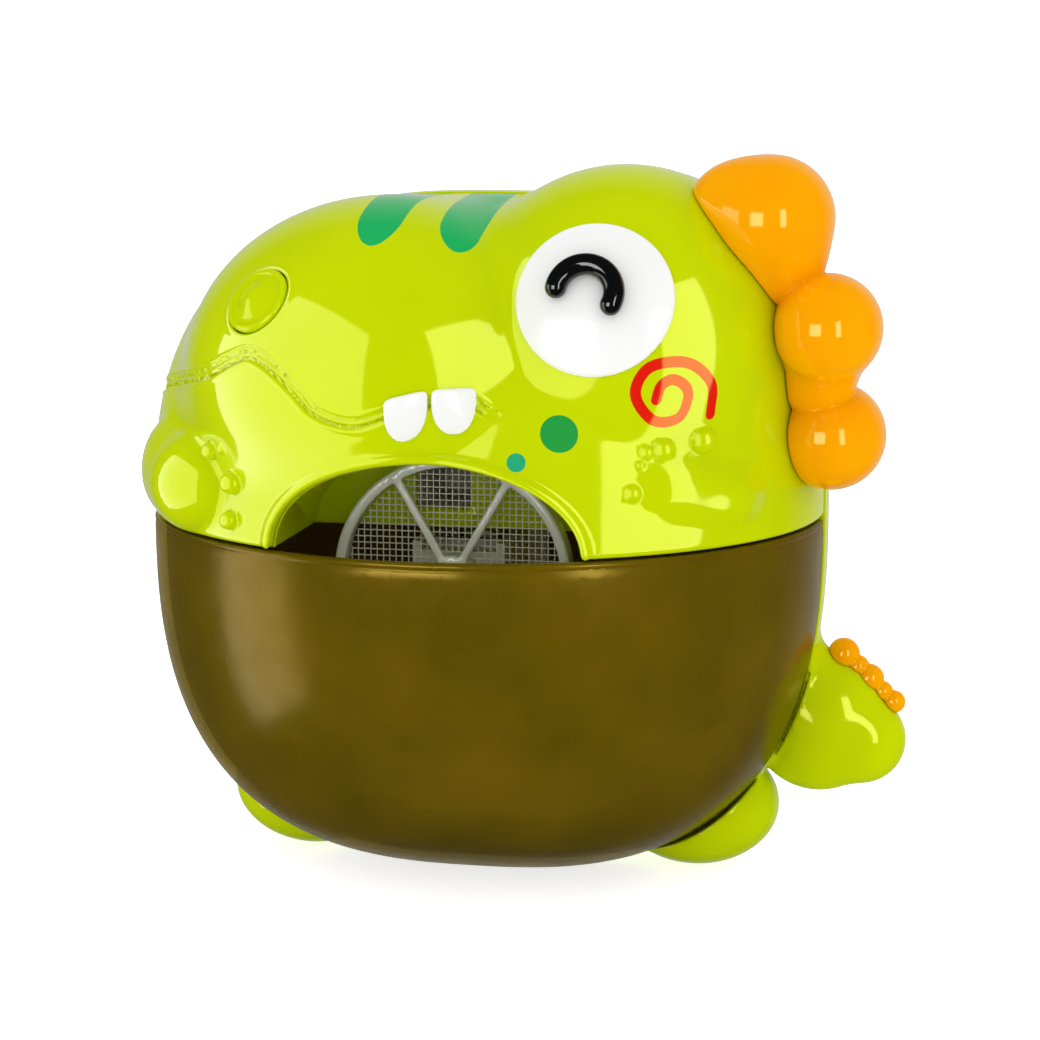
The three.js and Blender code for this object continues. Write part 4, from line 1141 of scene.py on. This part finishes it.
def screw_mesh(name, x, z, head_y, tip_y):
    """A pan-head screw along Y with a cross recess and a turned thread."""
    head, core = 2.6, 1.0

    def field(p):
        from_axis = np.sqrt((p[0] - x) ** 2 + (p[2] - z) ** 2)
        cap = ellipsoid(p, ((x, head_y - 1.2, z), (head, 1.2, head)))
        cap = smooth_max(cap, head_y - 1.3 - p[1], 0.2)
        angle = np.arctan2(p[2] - z, p[0] - x)
        thread = 0.16 * np.cos(angle - 2 * math.pi * p[1] / 1.1)
        point = np.clip((p[1] - tip_y) / 1.6, 0.1, 1)
        shank = np.maximum(from_axis - (core + thread) * point, np.maximum(tip_y - p[1], p[1] - head_y + 1.1))
        whole = smooth_min(cap, shank, 0.15)
        for a, b in ((0, 2), (2, 0)):
            slot = np.maximum(np.abs(p[a] - (x, 0, z)[a]) - 0.35, np.abs(p[b] - (x, 0, z)[b]) - 1.5)
            whole = smooth_max(whole, -np.maximum(slot, head_y - 0.9 - p[1]), 0.1)
        return whole

    low = np.array((x - head, tip_y, z - head))
    high = np.array((x + head, head_y, z + head))
    return field_mesh(name, field, low, high, 0.2)


def build_screws():
    for name, body in [(f"case_screw_{i}", "case") for i in (1, 2, 3, 4)] + [("door_screw", "door")]:
        low, high = box_mm(name)
        middle = (low + high) / 2
        mesh = screw_mesh(name + "_turned", middle[0], middle[2], high[1], low[1])
        add_object(mesh, body, steel, name)


def build_door():
    """The battery door: a rounded panel with grip ribs, a groove inset from its edge and a recess for its
    screw.
    """
    low, high = box_mm("battery_door")
    screw_low, screw_high = box_mm("door_screw")
    screw = (screw_low + screw_high) / 2

    def field(p):
        panel = slab(p, low, high, 1.0)
        for row in range(7):
            z = low[2] + 8 + 3.0 * row
            rib = np.hypot(np.maximum(np.abs(p[0]) - 11, 0), p[2] - z) - 0.8
            panel = smooth_max(panel, -np.maximum(rib, high[1] - 0.7 - p[1]), 0.4)
        groove = np.abs(slab(p, low + (3, -9, 3), high + (-3, 9, -3), 3.0)) - 0.3
        panel = smooth_max(panel, -np.maximum(groove, high[1] - 0.4 - p[1]), 0.3)
        recess = np.minimum(np.maximum(pillar(p, screw[0], screw[2], 3.1), -1.7 - p[1]),
                            pillar(p, screw[0], screw[2], 1.5))
        return smooth_max(panel, -recess, 0.4)

    mesh = field_mesh("battery_door_panel", field, low, high, 0.4)
    add_object(mesh, "door", lime, "battery_door")


def build_cells():
    for i in (1, 2, 3):
        low, high = box_mm(f"battery_{i}")
        middle = (low + high) / 2
        half = (high[0] - low[0]) / 2
        radius = (high[1] - low[1]) / 2
        direction = 1 if i % 2 else -1
        profile = [(0, -half), (radius - 1.6, -half), (radius - 1.4, -half + 0.3), (radius, -half + 0.3),
                   (radius, half - 1.5), (2.6, half - 1.5), (2.6, half), (0, half)]
        points, faces = lathe(rounded(profile, 0.35), 48)
        height = points[:, 2].copy()
        turned = np.column_stack((direction * height, points[:, 0], direction * points[:, 1])) + middle
        mesh = poly_mesh(f"battery_{i}_cell", turned, faces)
        put_distance(mesh, "gold_band", half * 0.62 - height)
        add_object(mesh, "case", jacket, f"battery_{i}")
        low, high = box_mm(f"contact_spring_{i}")
        base_x, tip_x = (low[0] + 0.3, high[0] - 0.3) if direction > 0 else (high[0] - 0.3, low[0] + 0.3)
        path = []
        for t in np.linspace(0, 1, 90):
            angle = 2 * math.pi * 3 * t
            coil = 3.6 - 1.4 * t
            path.append((base_x + (tip_x - base_x) * t, middle[1] + coil * math.cos(angle),
                         middle[2] + coil * math.sin(angle)))
        rings, faces = sweep(path, 0.3, 8)
        mesh = poly_mesh(f"contact_spring_{i}_wire", rings, faces)
        add_object(mesh, "case", steel, f"contact_spring_{i}")


# ---- CAD nodes that keep their shape

def dress_nodes():
    looks = {
        "partition_plate": lime, "battery_tray": lime, "tact_switch": dark_grain, "speaker": dark_grain,
        "switch_board": board, "circuit_board": board, "shaft_bush": brass,
    }
    for name in ("fan_volute", "fan_impeller", "air_duct", "wheel_bracket", "wheel_dog", "drive_dog",
                 "output_gear", "reduction_gear"):
        looks[name] = cream
    for name in ("wheel_axle", "drive_shaft", "reduction_pin", "motor_pinion", "wheel_motor", "fan_motor",
                 "fan_shaft", "contact_plate_1", "contact_plate_2", "contact_plate_3"):
        looks[name] = steel
    for name, material in looks.items():
        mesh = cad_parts[name].data
        mesh.materials.clear()
        mesh.materials.append(material)


# ---- Stage, light and camera

# The camera's and the lamps' places are in degrees about the machine and metres from it.
CAMERA_AZIMUTH, CAMERA_ELEVATION = 11.6, 9.7
CAMERA_DISTANCE = 0.7
CAMERA_TARGET = Vector((9.58, -30, -1.47)) * MM
LENS = 100.96
SENSOR = 36.0
LAMP_DISTANCE = 1.0
# Name, whether it lights the face or the rest, azimuth, elevation, width, height and radiance.
LAMPS = (
    ("wide_box_left", "face", -48, 3, 2.4, 2.5, 4.3), ("wide_box_right", "face", 61, 8, 0.66, 1.4, 6.0),
    ("square_box", "rest", -15, 8, 0.5, 0.5, 8.5), ("strip_box", "rest", 40, 10, 0.2, 0.6, 8.5),
    ("tank_box_left", "rest", -70, -10, 0.5, 1.2, 3.0),
)


def build_stage():
    """A pale floor under the feet that curves up behind into a backdrop."""
    floor_z = box_mm("rear_housing")[0][2] * MM
    profile = [(-9.0, 0.0), (-0.4, 0.0), (0.0, 0.0), (0.6, 0.0)]
    profile += [(0.6 + 0.6 * math.sin(t), 0.6 - 0.6 * math.cos(t)) for t in np.radians(np.arange(6, 91, 6))]
    profile += [(1.2, 2.6)]
    points = [(x, y, floor_z + z) for y, z in profile for x in (-6.0, 6.0)]
    faces = [(2 * i, 2 * i + 1, 2 * i + 3, 2 * i + 2) for i in range(len(profile) - 1)]
    mesh = bpy.data.meshes.new("floor")
    mesh.from_pydata(points, [], faces)
    mesh.polygons.foreach_set("use_smooth", np.ones(len(faces), bool))
    material, nodes, shader = new_material("floor")
    seen = nodes.add("LightPath").outputs["Is Camera Ray"]
    glow = nodes.math("ADD", nodes.math("MULTIPLY", seen, 0.45), 0.3)
    mottle = nodes.mix(nodes.noise(60, 2), (0.78, 0.78, 0.78, 1), (0.8, 0.8, 0.8, 1))
    connect(nodes, shader, Base_Color=mottle, Roughness=0.9, Specular_IOR_Level=0.0,
            Emission_Color=(1, 1, 1, 1), Emission_Strength=glow)
    mesh.materials.append(material)
    floor = link(bpy.data.objects.new("floor", mesh))
    floor.visible_glossy = False


def look_at_machine(name, data, azimuth, elevation, distance, target=Vector()):
    """A lamp or camera that faces the target; azimuth 0 is in front of it, positive to its right."""
    azimuth, elevation = math.radians(azimuth), math.radians(elevation)
    away = Vector((math.sin(azimuth) * math.cos(elevation), -math.cos(azimuth) * math.cos(elevation),
                   math.sin(elevation)))
    obj = link(bpy.data.objects.new(name, data))
    obj.location = target + away * distance
    obj.rotation_euler = away.to_track_quat("Z", "Y").to_euler()
    return obj


def receivers(name, face_state):
    """The pieces that a lamp lights: the face alone, or everything but the face."""
    lit = bpy.data.collections.new(name)
    lit.objects.link(bpy.data.objects["front_shell_skin"])
    lit.collection_objects[0].light_linking.link_state = face_state
    return lit


def build_lamps():
    """Softboxes that are seen only as highlights; the world gives the even light."""
    lit = {"face": receivers("face_only", "INCLUDE"), "rest": receivers("all_but_the_face", "EXCLUDE")}
    for name, share, azimuth, elevation, width, height, radiance in LAMPS:
        lamp = bpy.data.lights.new(name, "AREA")
        lamp.shape = "RECTANGLE"
        lamp.size, lamp.size_y = width, height
        lamp.energy = radiance * width * height * math.pi
        obj = look_at_machine(name, lamp, azimuth, elevation, LAMP_DISTANCE)
        obj.visible_diffuse = False
        obj.light_linking.receiver_collection = lit[share]


def build_world():
    """Even white light; in reflections the room is dark, with a pale wall behind the machine."""
    world = bpy.data.worlds.new("studio")
    bpy.context.scene.world = world
    world.use_nodes = True
    nodes = Nodes(world.node_tree)
    direction = nodes.add("SeparateXYZ", {0: nodes.add("TexCoord").outputs["Generated"]})
    behind = nodes.ramp(direction.outputs["Y"], 0.6, 1.0, 0.03, 0.6)
    path = nodes.add("LightPath")
    glossy = nodes.math("MAXIMUM", path.outputs["Is Glossy Ray"], path.outputs["Is Transmission Ray"])
    even = nodes.math("MULTIPLY", nodes.math("SUBTRACT", 1.0, glossy), 1.05)
    strength = nodes.math("ADD", nodes.math("MULTIPLY", behind, glossy), even)
    background = world.node_tree.nodes["Background"]
    nodes.feed(background.inputs[0], (1, 1, 1, 1))
    nodes.feed(background.inputs[1], strength)


def build_camera():
    data = bpy.data.cameras.new("camera")
    data.lens = LENS
    data.sensor_width = SENSOR
    data.clip_start, data.clip_end = 0.01, 20
    camera = look_at_machine("camera", data, CAMERA_AZIMUTH, CAMERA_ELEVATION, CAMERA_DISTANCE, CAMERA_TARGET)
    bpy.context.scene.camera = camera


build_casings()
build_eye()
build_teeth()
build_nose()
build_wheel()
build_suction_cups()
build_screws()
build_door()
build_cells()
dress_nodes()
build_stage()
build_lamps()
build_world()
build_camera()
bpy.context.scene.view_settings.view_transform = "Standard"
